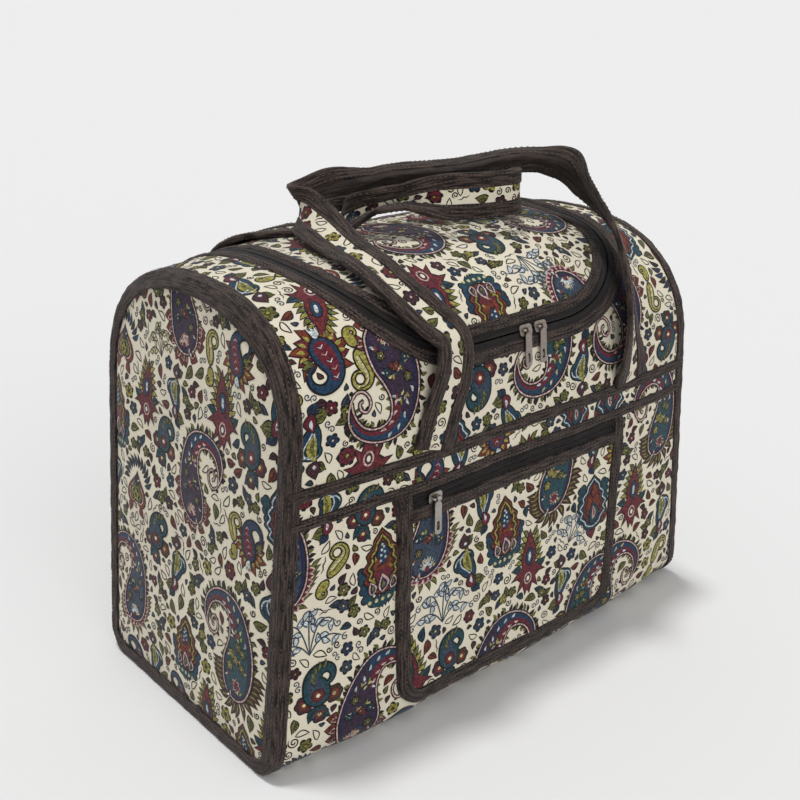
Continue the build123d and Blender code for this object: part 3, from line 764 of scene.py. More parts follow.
def medallion():
    """A pointed shield with a drop in it, over two rust curls."""
    motif = []
    for mirror in (False, True):
        motif += moved(drop("black", 1, 38, 3.8, 260, 1.0) + drop("rust", 2, 38, 3.8, 260), -4, -14, -75,
                       mirror=mirror)
        for k in range(3):
            motif += moved(spot("teal", 1, blob(4.4, 3, 0.3), 13, 4 + 6 * k, rim=1.0), mirror=mirror)
    motif += field("black", 2, ogive(1.4, 16, 46)) + field("teal", 3, ogive(0, 16, 46))
    motif += line("ice", 4, ogive(-2.2, 16, 46), 1.0, closed=True) + field("navy", 4, ogive(-3.6, 16, 46))
    motif += field("rust", 5, ogive(-5.5, 16, 46)) + line("black", 6, ogive(-7.5, 16, 46), 1.0, closed=True)
    motif += spot("teal", 6, leaf_shape(19, 11), -1, -16, rim=1.2)
    motif += spot("pink", 8, leaf_shape(12, 4.4), -0.5, -12)
    motif += spot("crimson", 9, leaf_shape(8, 1.8), 0, -10)
    motif += spot("rust", 6, leaf_shape(12, 7), 0, 7, rim=1.2)
    return motif + spot("crimson", 1, leaf_shape(13, 10), 0, -16, 180, rim=1.0)


def pale_curl():
    """Two gold curls that meet at their full ends."""
    shape = (50.0, 4.4, 330.0)
    motif = drop("black", 2, *shape, 1.2) + drop("gold", 3, *shape)
    motif += drop("straw", 4, *shape, 0, 0.05, 0.7, -0.7, 0.1)
    motif += moved(drop("black", 2, 26, 3.4, 330, 1.1) + drop("gold", 3, 26, 3.4, 330), 0, -1, 180)
    return motif + line("black", 5, drop_line(50, 330)[1][3:30], 0.8)


def chain(colours):
    """A short winding row of flowers and leaves."""
    motif = []
    for k, colour in enumerate(colours):
        x, y = 4 * math.sin(k * 1.9), 10 * k - 5 * len(colours)
        motif += moved(flower(4.6, colour, ("gold", "straw", "pink")[k % 3]), x, y, 33 * k)
        motif += moved(leaf(8, ("olive", "slate", "maroon")[k % 3]), x, y + 5, (60, -70)[k % 2], raise_by=-1)
    return motif


motifs = {
    "paisley": paisley("brown_fringe"), "rust_fringed_paisley": paisley("rust_fringe"),
    "pink_fringed_paisley": paisley("pink_fringe"), "palmette": palmette(), "star": star(), "lily": lily(),
    "teal_paisley": small_paisley("sprigged"), "flame_paisley": small_paisley("flame"), "spade": spade(),
    "medallion": medallion(), "pale_curl": pale_curl(), "sprig": sprig("slate"),
    "dark_sprig": sprig("black", "straw"),
    "olive_chain": chain(("olive", "slate", "olive")), "maroon_chain": chain(("maroon", "olive", "crimson")),
    "long_chain": chain(("olive", "gold", "slate", "olive")), "olive_flower": flower(6.2, "olive", "gold"),
    "gold_flower": flower(6.0, "gold", "brown"), "maroon_flower": flower(5.4, "maroon", "pink"),
    "crimson_flower": flower(6.0, "crimson", "gold", 6), "blue_flower": flower(5.4, "blue", "pink"),
    "slate_flower": flower(5.2, "slate", "straw"), "rust_leaf": leaf(10, "rust"),
    "olive_leaf": leaf(11, "olive"),
    "maroon_leaf": leaf(10, "maroon"), "blue_leaf": leaf(10, "blue"), "teal_leaf": leaf(9, "teal"),
    "open_leaf": line("black", 1, leaf_shape(10, 4.4), 0.85, closed=True),
    "curl": line("black", 1, spiral(4.2, 1.7), 0.95), "rose_curl": line("maroon", 1, spiral(4.0, 1.7), 0.95),
    "loops": line("slate", 1, spiral(2.6, 1.3), 0.8)
    + moved(line("slate", 1, spiral(2.6, 1.3), 0.8), 4.6, 1.5, 130),
    "seed": spot("brown", 1, leaf_shape(4.4, 2.2), rim=0.8),
    "bud": spot("maroon", 1, leaf_shape(5.0, 3.2), rim=0.9),
    "dark_seed": spot("slate", 1, leaf_shape(4.0, 2.0), rim=0.9),
    "olive_seed": spot("olive", 1, leaf_shape(5.0, 2.6), rim=0.9),
    "small_curl": line("black", 1, spiral(2.6, 1.4), 0.9),
    "twig": line("black", 1, [(-1, -5), (0.5, -2.5), (0, 0), (1.5, 2.5), (1, 5)], 0.95),
}
large_kinds = ("paisley", "palmette", "star", "rust_fringed_paisley", "lily", "flame_paisley",
               "pink_fringed_paisley",
               "teal_paisley", "spade", "medallion")
middle_kinds = ("olive_chain", "maroon_chain", "long_chain", "sprig", "dark_sprig", "pale_curl",
                "flame_paisley",
                "teal_paisley", "lily", "olive_chain", "long_chain")
flower_kinds = ("olive_flower", "slate_flower", "maroon_flower", "gold_flower", "crimson_flower",
                "blue_flower",
                "olive_flower", "gold_flower", "rust_leaf", "olive_leaf", "open_leaf")
leaf_kinds = ("maroon_leaf", "blue_leaf", "rust_leaf", "teal_leaf", "olive_leaf", "open_leaf", "curl",
              "rose_curl", "loops",
              "olive_leaf", "open_leaf")
tiny_kinds = ("seed", "bud", "twig", "dark_seed", "loops", "small_curl", "olive_seed")
square = 1.5


def covered(motif):
    """Where a motif covers the cloth: points over its faces, thinned to one in each small square."""
    points = []
    for _, _, verts, faces in motif:
        corner = verts[faces]
        points.append(verts)
        for a, b in ((0.33, 0.33), (0.6, 0.2), (0.2, 0.6), (0.2, 0.2), (0.5, 0.5), (0.5, 0), (0, 0.5),
                     (0.1, 0.45), (0.45, 0.1)):
            points.append(corner[:, 0] * (1 - a - b) + corner[:, 1] * a + corner[:, 2] * b)
    return np.unique(np.round(np.vstack(points) / square), axis=0) * square


covers = {kind: covered(motif) for kind, motif in motifs.items()}


def turned(points, turn, size, mirror):
    c, s = math.cos(math.radians(turn)) * size, math.sin(math.radians(turn)) * size
    p = points * (-1, 1) if mirror else points
    return np.stack([p[:, 0] * c - p[:, 1] * s, p[:, 0] * s + p[:, 1] * c], 1)


def spread(low_corner, high_corner, placed, upright=0, small=False):
    """Fills the room between the placed motifs, the large ones first."""
    low_at, margin, out = np.array(low_corner, float), 80, []
    count = ((np.array(high_corner) - low_at) / square).astype(int) + 2 * margin
    taken = np.zeros(count, bool)

    def widened(cells, steps):
        for k in range(steps):
            grown = cells.copy()
            grown[1:] |= cells[:-1]
            grown[:-1] |= cells[1:]
            base = grown.copy() if k % 2 else cells
            grown[:, 1:] |= base[:, :-1]
            grown[:, :-1] |= base[:, 1:]
            cells = grown
        return cells

    def lay(kind, at, turn, size, mirror, always=False):
        points = turned(covers[kind], turn, size, mirror) + at
        i, j = np.clip(((points - low_at) / square).astype(int) + margin, 1, count - 2).T
        if not always and taken[i, j].any():
            return
        taken[i, j] = True
        out.append((kind, *at, turn, size, mirror))

    for kind, x, y, turn, size, mirror in placed:
        lay(kind, np.array([x, y]), turn, size, mirror, always=True)
    area_share = np.prod(np.array(high_corner) - low_at) / 60000
    for kinds, room, turn, tries, rounds, grown in (
            (large_kinds, 14, 16, 90, 4, 1.0), (middle_kinds, 7.5, 100, 700, 6, 1.0),
            (flower_kinds, 4.5, 180, 1300, 8, 1.0), (leaf_kinds, 2.8, 180, 1500, 8, 1.05),
            (tiny_kinds, 1.5, 180, 1200, 5, 1.1))[2 if small else 0:]:
        for _ in range(rounds):
            spots = np.argwhere(~widened(taken, int(room / square))[margin:-margin, margin:-margin])
            for _ in range(min(len(spots), int(tries * area_share) + 5)):
                kind, mirror, size = dice.choice(kinds), dice.random() < 0.5, grown * dice.uniform(0.85, 1.1)
                way = upright + dice.uniform(-turn, turn)
                about = turned(covers[kind], way, size, mirror)
                lay(kind, low_at + spots[dice.randrange(len(spots))] * square
                    - (about.max(0) + about.min(0)) / 2, way, size,
                    mirror)
    return out


def pattern(name, place, low_corner, high_corner, within, placed=(), upright=0, small=False):
    """Lays motifs on one panel of cloth, in the panel's own flat mm."""
    verts, faces, pick, layers, count = [], [], [], [], 0
    for kind, x, y, turn, size, mirror in spread(low_corner, high_corner, placed, upright, small):
        for colour, layer, v, f in moved(motifs[kind], x, y, turn, size, mirror):
            verts.append(v)
            faces.append(f + count)
            pick.append(np.full(len(f), dye_names.index(colour)))
            layers.append(np.full(len(v), layer))
            count += len(v)
    verts, faces = np.vstack(verts), np.vstack(faces)
    pick, layers = np.concatenate(pick), np.concatenate(layers)
    middle = verts[faces].mean(1)
    keep = within(middle[:, 0], middle[:, 1])
    faces, pick = faces[keep], pick[keep]
    used, faces = np.unique(faces, return_inverse=True)
    verts, layers, faces = verts[used], layers[used], faces.reshape(-1, 3)
    corner = verts[faces]
    first, second = corner[:, 1] - corner[:, 0], corner[:, 2] - corner[:, 0]
    over = first[:, 0] * second[:, 1] - first[:, 1] * second[:, 0] < 0
    faces[over] = faces[over][:, ::-1]
    where = place(verts[:, 0], verts[:, 1], print_lift + print_step * layers)
    return piece(name, where, faces, list(dyes.values()), flat=verts, pick=pick)


# Panels of padded cloth
def panel(name, nodes, a_low, a_high, keep=None, lift=0.0, step=4.0, x_share=0.985):
    rows = np.linspace(a_low, a_high, int(abs(a_high - a_low) / step) + 2)
    share = np.linspace(-x_share, x_share, int(length / step) + 1)
    a, s = np.meshgrid(rows, share, indexing="ij")
    x = s * end_x(a)
    faces = grid_faces(*a.shape)
    if keep is not None:
        fx, fa = x.ravel()[faces].mean(1), a.ravel()[faces].mean(1)
        faces = faces[keep(fx, fa)]
    used, index = np.unique(faces, return_inverse=True)
    where = wrap(x, a, lift).reshape(-1, 3)[used]
    flat = np.stack([x.ravel(), a.ravel()], 1)[used]
    obj = piece(name, where, index.reshape(-1, 4), [cream_cloth], nodes=nodes,
                flat=flat)
    thicken(obj, wall)
    return obj


band_seam = band_top - upper_tape_width / 2


def on_wrap(x, a):
    return np.abs(x) < end_x(a) - 3


def pocket_inside(x, a, edge=0.0):
    across = np.abs(x) - (pocket_half_width - edge)
    down = pocket_bottom + edge - a
    corner = pocket_corner
    ca, cd = across + corner, down + corner
    round_part = np.where((ca > 0) & (cd > 0), np.hypot(ca, cd), np.maximum(ca, cd)) - corner
    return (round_part < 0) & (a < pocket_top_tape_low + 4)


panel("front_cloth", ["front_panel"], bottom_run - 4, band_seam)
panel("back_cloth", ["back_panel"], over_run - band_seam, over_run - bottom_run + 4)
panel("yoke_cloth", ["top_yoke"], band_seam, over_run - band_seam, lambda x, a: lid_offset(x, a) > 8,
      step=3.5)
panel("lid_cloth", ["lid_panel"], band_seam, over_run - band_seam, lambda x, a: lid_offset(x, a) < -8,
      step=3.5)
panel("pocket_front_cloth", ["pocket_panel"], pocket_bottom + 4, pocket_top_tape_low + 6,
      lambda x, a: pocket_inside(x, a, 4), lift=pocket_cloth, step=3)


# Motifs in view, by their flat places: kind, x, y, turn, size, mirrored
left_end_motifs = (
    ("paisley", 69, 44, 0, 1.0, True), ("rust_fringed_paisley", 11, 155, 0, 0.88, False),
    ("pink_fringed_paisley", -71, 41, 4, 0.88, True), ("rust_fringed_paisley", -3, 272, 4, 0.88, False),
    ("star", 43, 246, 0, 0.92, False), ("flame_paisley", 62, 272, 0, 0.95, False),
    ("flame_paisley", 80, 152, 0, 0.9, False), ("spade", -68, 150, 0, 0.9, False),
    ("spade", -92, 256, 0, 0.9, False),
    ("palmette", 5, 56, 0, 0.95, False), ("lily", -12, 112, 0, 0.9, False), ("star", 34, 14, 0, 0.85, False),
    ("pale_curl", 28, 272, 0, 0.9, False), ("pale_curl", 62, 160, 0, 0.8, False),
    ("dark_sprig", -34, 262, 20, 0.8, False))
front_motifs = (
    ("palmette", -128, 140, 0, 1.1, False), ("teal_paisley", -182, 50, 0, 1.05, False),
    ("sprig", -188, 92, 0, 1.1, False),
    ("rust_fringed_paisley", -157, 2, -20, 1.0, False), ("pink_fringed_paisley", -206, 130, 0, 0.95, True),
    ("star", 141, 106, 0, 1.0, False), ("lily", 184, 78, 0, 1.0, False), ("paisley", 172, 134, 0, 1.0, True),
    ("paisley", 99, -4, -20, 1.0, False))
pocket_motifs = (
    ("palmette", -15, 130, 0, 1.05, False), ("star", 13, 92, 0, 0.95, False),
    ("paisley", 38, 126, 0, 1.0, True),
    ("medallion", 86, 116, 0, 1.0, False), ("lily", 50, 60, 0, 0.95, False),
    ("sprig", 58, 92, -30, 0.9, False),
    ("teal_paisley", -67, 32, 0, 1.0, False), ("sprig", -75, 74, 0, 1.1, False),
    ("rust_fringed_paisley", -35, -16, -20, 1.0, False), ("paisley", 69, -4, -20, 1.0, False),
    ("pink_fringed_paisley", -92, 118, 0, 1.0, True))
yoke_motifs = (
    ("flame_paisley", -160, 312, 180, 1.1, False), ("rust_fringed_paisley", -114, 308, 180, 1.0, False),
    ("lily", -180, 244, 180, 1.0, False), ("star", -146, 334, 160, 0.9, False),
    ("lily", -172, 374, 180, 1.0, False),
    ("crimson_flower", -156, 228, 0, 1.2, False), ("maroon_chain", -160, 262, 30, 1.0, False),
    ("star", -139, 206, 180, 1.0, False), ("lily", 65, 238, 180, 0.95, False),
    ("teal_paisley", 172, 250, 180, 1.0, False),
    ("pale_curl", -137, 296, 180, 1.0, False), ("paisley", 33, 302, 180, 1.0, False),
    ("rust_fringed_paisley", 116, 309, 180, 1.0, False), ("teal_paisley", -42, 262, 180, 1.0, False))
lid_motifs = (
    ("rust_fringed_paisley", -21, 436, 184, 1.0, False), ("paisley", 104, 430, 184, 1.0, False),
    ("teal_paisley", 24, 372, 180, 1.0, False), ("sprig", 34, 334, 200, 1.1, False),
    ("star", -56, 320, 180, 1.0, False),
    ("palmette", -18, 298, 180, 1.0, False), ("pink_fringed_paisley", 62, 312, 180, 1.0, False))


def end_panel(name, side):
    """An arched end: rings of cloth from its middle to its rim, and the pattern on it."""
    place = end_place(side)
    a = np.linspace(bottom_run - 100, over_run - bottom_run + 100, 180)
    rim = section(end_x(a), a)
    outline = np.stack([side * rim[:, 1], rim[:, 2]], 1)
    ring_shares = np.linspace(0.02, 0.985, 30)
    rings = np.stack([end_middle + (outline - end_middle) * share for share in ring_shares])
    flat = rings.reshape(-1, 2)
    faces = grid_faces(*rings.shape[:2], ring=True)
    where = place(flat[:, 0], flat[:, 1], -tape)
    faces = faces[:, ::-1] if side < 0 else faces
    first = list(range(rings.shape[1]))
    obj = piece(name + "_cloth", where, [tuple(f) for f in faces]
                + [tuple(first if side < 0 else first[::-1])],
                [cream_cloth], nodes=[name + "_panel"], flat=flat)
    thicken(obj, wall)

    def within(h, z):
        centre = np.stack([h, z], 1)
        return inside(centre + (end_middle - centre) * -0.02, outline) & (z > 5)

    pattern(name + "_pattern", lambda h, z, lift: place(h, z, lift - tape), (-115, 0), (115, 318), within,
            left_end_motifs)


end_panel("left_end", -1)
end_panel("right_end", 1)

pattern("front_pattern", wrap, (-225, -16), (225, band_seam), lambda x, a: on_wrap(x, a) & (a < band_seam)
        & (a > bottom_run - 2) & ~pocket_inside(x, a, 6), front_motifs)
pattern("pocket_pattern", lambda x, a, lift: wrap(x, a, lift + pocket_cloth), (-118, 15), (118, 170),
        lambda x, a: pocket_inside(x, a, 5), pocket_motifs)
pattern("back_pattern", wrap, (-225, over_run - band_seam), (225, over_run + 16),
        lambda x, a: on_wrap(x, a) & (a > over_run - band_seam) & (a < over_run - bottom_run + 2),
        upright=180)
pattern("yoke_pattern", wrap, (-225, band_seam), (225, over_run - band_seam),
        lambda x, a: on_wrap(x, a) & (lid_offset(x, a) > 9) & (a > band_seam) & (a < over_run - band_seam),
        yoke_motifs,
        upright=180)
pattern("lid_pattern", wrap, (-140, band_seam), (148, over_run - band_seam),
        lambda x, a: (lid_offset(x, a) < -9) & (a < over_run - band_seam), lid_motifs, upright=180)


# Binding tapes: strips of a rounded section, slightly crinkled
def crinkle(along, k):
    return (0.2 * np.sin(along / 1.9 + 2.1 * k) * np.sin(along / 17 + k) + 0.2
            * np.sin(along / 4.3 + 1.3 * k * k)
            + 0.14 * np.sin(along / 11 - 0.7 * k))


def strip(name, nodes, columns, material, ring=False):
    """A tape from its columns of points across its width, each (places, way along, way across)."""
    places = np.stack([c[0] for c in columns], 1)
    flat = np.stack([np.stack([c[1], np.broadcast_to(c[2], c[1].shape)], -1) for c in columns], 1)
    faces = grid_faces(*places.shape[:2])
    if ring:
        n = places.shape[1]
        last = (places.shape[0] - 1) * n + np.arange(n - 1)
        faces = np.vstack([faces, np.stack([last, last + 1, np.arange(1, n), np.arange(n - 1)], 1)])
    return piece(name, places.reshape(-1, 3), faces, [material], nodes=nodes,
                 flat=flat.reshape(-1, 2))


# A tape's section: the share of its width and the lift there, with a groove under each row of stitches
profile = ((0.0, -0.6), (0.02, 0.8), (0.08, 1.25), (0.16, 0.65), (0.25, 1.4), (0.42, 1.45), (0.5, 0.7),
           (0.58, 1.45),
           (0.75, 1.4), (0.84, 0.65), (0.92, 1.25), (0.98, 0.8), (1.0, -0.6))


def straight_tape(name, nodes, a_low, a_high, x_low=None, x_high=None, base=0.0, material=None):
    columns = []
    for k, (share, lift) in enumerate(profile):
        a = np.full(300, a_low + (a_high - a_low) * share)
        ends = end_x(a) * 0.999
        x = np.linspace(-1, 1, 300) * ends if x_low is None else np.linspace(x_low, x_high, 300)
        bump = crinkle(x, k) if 0 < k < len(profile) - 1 else 0
        columns.append((wrap(x, a, base + lift * tape / 1.2 + bump), x, a))
    return strip(name, nodes, columns[::-1], material or brown_tape)


# The stretch that the lid's sliders run on, where the tape is pressed flatter
slide_middle, slide_reach = 8.0, 46.0


def lid_tape(name, nodes, r_low, r_high, lifts, material, rough=1.0):
    columns = []
    for k, (share, lift) in enumerate(lifts):
        r = r_low + (r_high - r_low) * share
        x, a = lid_line(r)
        along = np.r_[0, np.cumsum(np.hypot(np.diff(x), np.diff(a)))]
        way = np.linspace(0, along[-1], 560)
        x, a = np.interp(way, along, x), np.interp(way, along, a)
        bump = rough * crinkle(way, k) if 0 < k < len(lifts) - 1 else 0
        worn = np.exp(-((x - slide_middle) / slide_reach) ** 4) * (a < over_run / 2)
        columns.append((wrap(x, a, lift * (1 - 0.2 * worn) + bump * (1 - 0.8 * worn)), way,
                        np.full_like(way, r)))
    return strip(name, nodes, columns, material)


straight_tape("band_upper_tape", ["front_upper_tape"], band_top - upper_tape_width, band_top)
straight_tape("band_lower_tape", ["front_lower_tape"], lower_tape_top - lower_tape_width, lower_tape_top)
straight_tape("back_band_tape", ["back_tape"], over_run - band_top, over_run - band_top + upper_tape_width)
lid_tape("lid_rim_tape", ["lid_edge_tape"], -zip_half_width - lid_tape_width, -zip_half_width, profile,
         brown_tape)
lid_tape("yoke_rim_tape", ["yoke_edge_tape"], zip_half_width, zip_half_width + yoke_tape_width, profile,
         brown_tape)
zip_lifts = ((0, 0.5), (0.25, 0.35), (0.5, 0.2), (0.7, 0.5), (0.85, 0.7), (0.94, 0.4), (1, -1.2))
lid_tape("lid_zip_upper", ["lid_zip_lid_half"], -zip_half_width - 0.5, -0.5, zip_lifts, zip_weave,
         0.3)
lid_tape("lid_zip_lower", ["lid_zip_yoke_half"], 0.5, zip_half_width + 0.5,
         tuple((1 - s, h) for s, h in zip_lifts[::-1]), zip_weave, 0.3)


def end_binding(name, node_name, side):
    """The tape folded over the seam between an end panel and the cloth round it."""
    place = end_place(side)
    a = np.linspace(bottom_run - under_run, over_run - bottom_run + under_run, 700)
    ends = end_x(a)
    rim = section(ends, a)
    plane = np.stack([side * rim[:, 1], rim[:, 2]], 1)
    ahead = np.gradient(plane, axis=0)
    ahead /= np.linalg.norm(ahead, axis=1, keepdims=True)
    outward = np.stack([-ahead[:, 1], ahead[:, 0]], 1)
    if ((plane - end_middle) * outward).sum() < 0:
        outward = -outward
    columns = []
    for k, (back, lift) in enumerate(((10, -0.6), (9.8, 0.8), (8.5, 1.2), (5.5, 1.35), (2.5, 1.3),
                                      (0.3, 1.15))):
        bump = crinkle(a, k) if k else 0
        columns.append((wrap(side * (ends - back), a, lift + bump), a, np.full_like(a, -back)))
    for k, (back, lift) in enumerate(((-0.5, 0.6), (0.8, 1.15), (3, 1.3), (6, 1.35), (8.7, 1.15),
                                      (9.8, 0.8), (10, -0.6))):
        flat = plane - outward * back
        bump = crinkle(a, k + 7) if k < 6 else 0
        columns.append((place(flat[:, 0], flat[:, 1], lift + bump - 0.4), a, np.full_like(a, back)))
    if side < 0:
        columns = columns[::-1]
    return strip(name, [node_name], columns, brown_tape, ring=True)


end_binding("left_end_tape", "left_end_binding", -1)
end_binding("right_end_tape", "right_end_binding", 1)


def pocket_line(edge):
    half, corner = pocket_half_width - edge, max(pocket_corner - edge, 1)
    turn = np.linspace(0, np.pi / 2, 20)
    bottom = pocket_bottom + edge
    x = np.r_[np.full(60, -half), -half + corner * (1 - np.cos(turn))]
    a = np.r_[np.linspace(pocket_zip_top + 4, bottom + corner, 60), bottom + corner * (1 - np.sin(turn))]
    run = np.linspace(-half + corner, half - corner, 90)[1:-1]
    return np.r_[x, run, -x[::-1]], np.r_[a, np.full(88, bottom), a[::-1]]


def pocket_tape():
    columns = []
    shape = ((-0.6, -0.6), (-0.4, 1.6), (0.2, 3.0), (1.2, 3.7), (2.0, 3.2), (3.0, 3.8), (5.2, 3.9),
             (6, 3.4), (6.8, 3.9),
             (9.0, 3.8), (10, 3.2), (11, 3.5), (11.6, 2.0))
    for k, (edge, lift) in enumerate(shape):
        x, a = pocket_line(edge)
        along = np.r_[0, np.cumsum(np.hypot(np.diff(x), np.diff(a)))]
        way = np.linspace(0, along[-1], 420)
        x, a = np.interp(way, along, x), np.interp(way, along, a)
        bump = crinkle(way, k) if 0 < k < len(shape) - 1 else 0
        tuck = 0.15 + 0.85 * np.clip((np.minimum(way, way[::-1]) - 2) / 5, 0, 1)
        columns.append((wrap(x, a, (lift + bump) * tuck), way, np.full_like(way, edge)))
    strip("pocket_rim_tape", ["pocket_binding"], columns[::-1], brown_tape)


pocket_tape()
straight_tape("pocket_upper_tape", ["pocket_top_tape"], pocket_top_tape_low, pocket_zip_low, -106, 106,
              base=pocket_cloth)
for name, nodes, a_low, a_high in (("pocket_zip_lower", ["pocket_zip_lower_half"], 173.6, 179.1),
                                   ("pocket_zip_upper", ["pocket_zip_upper_half"], 178.9, 184.4)):
    straight_tape(name, nodes, a_low, a_high, -105, 105, base=0.4, material=zip_weave)


def bottom_cloth():
    s, y = np.meshgrid(np.linspace(-1, 1, 40), np.linspace(-1, 1, 30), indexing="ij")
    x = s * (half_length - 6)
    across = y * (half_depth(x) - base_corner + 2)
    z = 2.9 + 0.4 * np.maximum(s ** 12, y ** 12)
    where = np.stack([x, across, z], -1).reshape(-1, 3)
    obj = piece("bottom_cloth", where, grid_faces(40, 30), [base_cloth],
                nodes=["bottom_panel"],
                flat=where[:, :2])
    thicken(obj, 2.5)


bottom_cloth()


# Rows of stitches along the tapes, each a short raised thread
def sew(name, rows, step=3.8, long=2.6, wide=0.8):
    verts = []
    for place, p, q, lift in rows:
        along = np.r_[0, np.cumsum(np.hypot(np.diff(p), np.diff(q)))]
        at = np.arange(step, along[-1] - step, step)
        ends = [place(np.interp(at + d, along, p), np.interp(at + d, along, q), lift)
                for d in (-long / 2, 0, long / 2)]
        top = place(np.interp(at, along, p), np.interp(at, along, q), lift + 0.5)
        out = top - ends[1]
        out /= np.linalg.norm(out, axis=1, keepdims=True)
        aside = np.cross(ends[2] - ends[0], out)
        aside *= wide / 2 / np.linalg.norm(aside, axis=1, keepdims=True)
        verts.append(np.stack([ends[0] - 0.25 * out, ends[1] + aside, ends[1] - aside, top,
                               ends[2] - 0.25 * out], 1))
    verts = np.vstack(verts)
    base = np.arange(len(verts))[:, None, None] * 5
    faces = (base + np.array([[0, 1, 3], [0, 3, 2], [4, 3, 1], [4, 2, 3]])).reshape(-1, 3)
    flat = verts.reshape(-1, 3)[:, [0, 2]]
    piece(name, verts.reshape(-1, 3), faces, [thread], flat=flat)


# Handles: straps smoothly bent through the same stations as in the part's source
front_stations = (
    ((-0.354, -1.025, 0.725), (0.94, 0, -0.34), 0), ((-0.317, -1.038, 0.801), (0.93, 0.05, -0.36), 0),
    ((-0.299, -0.990, 0.864), (0.97, 0.10, -0.10), 0), ((-0.354, -0.902, 0.911), (0.85, 0.32, 0.41), 0),
    ((-0.395, -0.788, 0.952), (0.97, 0.18, 0.14), 0), ((-0.410, -0.547, 0.995), (0.99, 0.06, 0.08), 0),
    ((-0.399, -0.245, 1.017), (0.97, 0, 0.20), 0), ((-0.385, -0.033, 1.038), (0.85, 0.05, 0.50), 0),
    ((-0.372, 0.139, 1.054), (0.50, 0.45, 0.74), 0), ((-0.354, 0.245, 1.063), (0.20, 0.66, 0.72), 0),
    ((-0.322, 0.300, 1.068), (0.05, 0.66, 0.75), 0), ((-0.277, 0.308, 1.074), (0, 0.60, 0.80), 0),
    ((-0.218, 0.267, 1.088), (0, 0.45, 0.89), 0.1), ((-0.154, 0.196, 1.095), (0, 0.35, 0.94), 0.5),
    ((-0.091, 0.127, 1.106), (0, 0.25, 0.97), 1), ((0.193, -0.082, 1.118), (0, 0.25, 0.97), 1),
    ((0.481, -0.298, 1.131), (0, 0.20, 0.98), 1), ((0.526, -0.384, 1.116), (-0.15, 0, 0.98), 0.6),
    ((0.549, -0.498, 1.085), (-0.40, -0.20, 0.90), 0.1), ((0.551, -0.653, 1.045), (-0.65, -0.40, 0.65), 0),
    ((0.535, -0.816, 1.000), (-0.75, -0.50, 0.43), 0), ((0.510, -0.959, 0.934), (-0.80, -0.55, 0.25), 0),
    ((0.501, -1.042, 0.849), (-0.80, -0.60, 0.05), 0), ((0.506, -1.068, 0.755), (-0.90, -0.42, 0), 0),
    ((0.531, -1.045, 0.695), (-0.98, -0.18, 0), 0))
rear_stations = (
    ((-0.449, 1.025, 0.740), (-1, 0, 0), 0), ((-0.447, 0.963, 0.864), (-1, 0, 0), 0),
    ((-0.444, 0.846, 0.924), (-1, 0, 0), 0), ((-0.440, 0.741, 0.956), (-1, 0, 0), 0),
    ((-0.428, 0.588, 0.985), (-0.99, -0.10, 0), 0), ((-0.381, 0.424, 1.001), (-0.93, -0.36, 0), 0),
    ((-0.304, 0.310, 1.006), (-0.72, -0.69, 0), 0), ((-0.268, 0.188, 1.011), (-0.70, -0.71, -0.04), 0),
    ((-0.236, 0.033, 1.035), (-0.50, -0.62, -0.60), 0.4), ((-0.172, -0.065, 1.059), (-0.35, -0.50, -0.80), 1),
    ((-0.100, -0.155, 1.073), (-0.25, -0.40, -0.88), 1),
    ((-0.041, -0.229, 1.080), (-0.15, -0.30, -0.94), 0.6),
    ((0.036, -0.310, 1.082), (-0.05, -0.15, -0.98), 0.1), ((0.136, -0.367, 1.080), (0, -0.05, -1), 0),
    ((0.227, -0.408, 1.080), (0, 0, -1), 0), ((0.272, -0.416, 1.080), (0, 0, -1), 0),
    ((0.311, -0.384, 1.079), (0.02, 0, -1), 0), ((0.331, -0.318, 1.073), (0.10, 0, -0.99), 0),
    ((0.345, -0.229, 1.054), (0.40, 0.05, -0.91), 0), ((0.358, -0.106, 1.038), (0.82, 0, -0.57), 0),
    ((0.381, 0.065, 1.022), (0.94, -0.10, -0.30), 0), ((0.417, 0.278, 1.011), (0.98, -0.15, -0.08), 0),
    ((0.449, 0.506, 0.996), (0.99, -0.10, 0), 0), ((0.472, 0.741, 0.956), (1, 0, 0), 0),
    ((0.476, 0.846, 0.924), (1, 0, 0), 0), ((0.476, 0.963, 0.864), (1, 0, 0), 0),
    ((0.476, 1.025, 0.740), (1, 0, 0), 0))


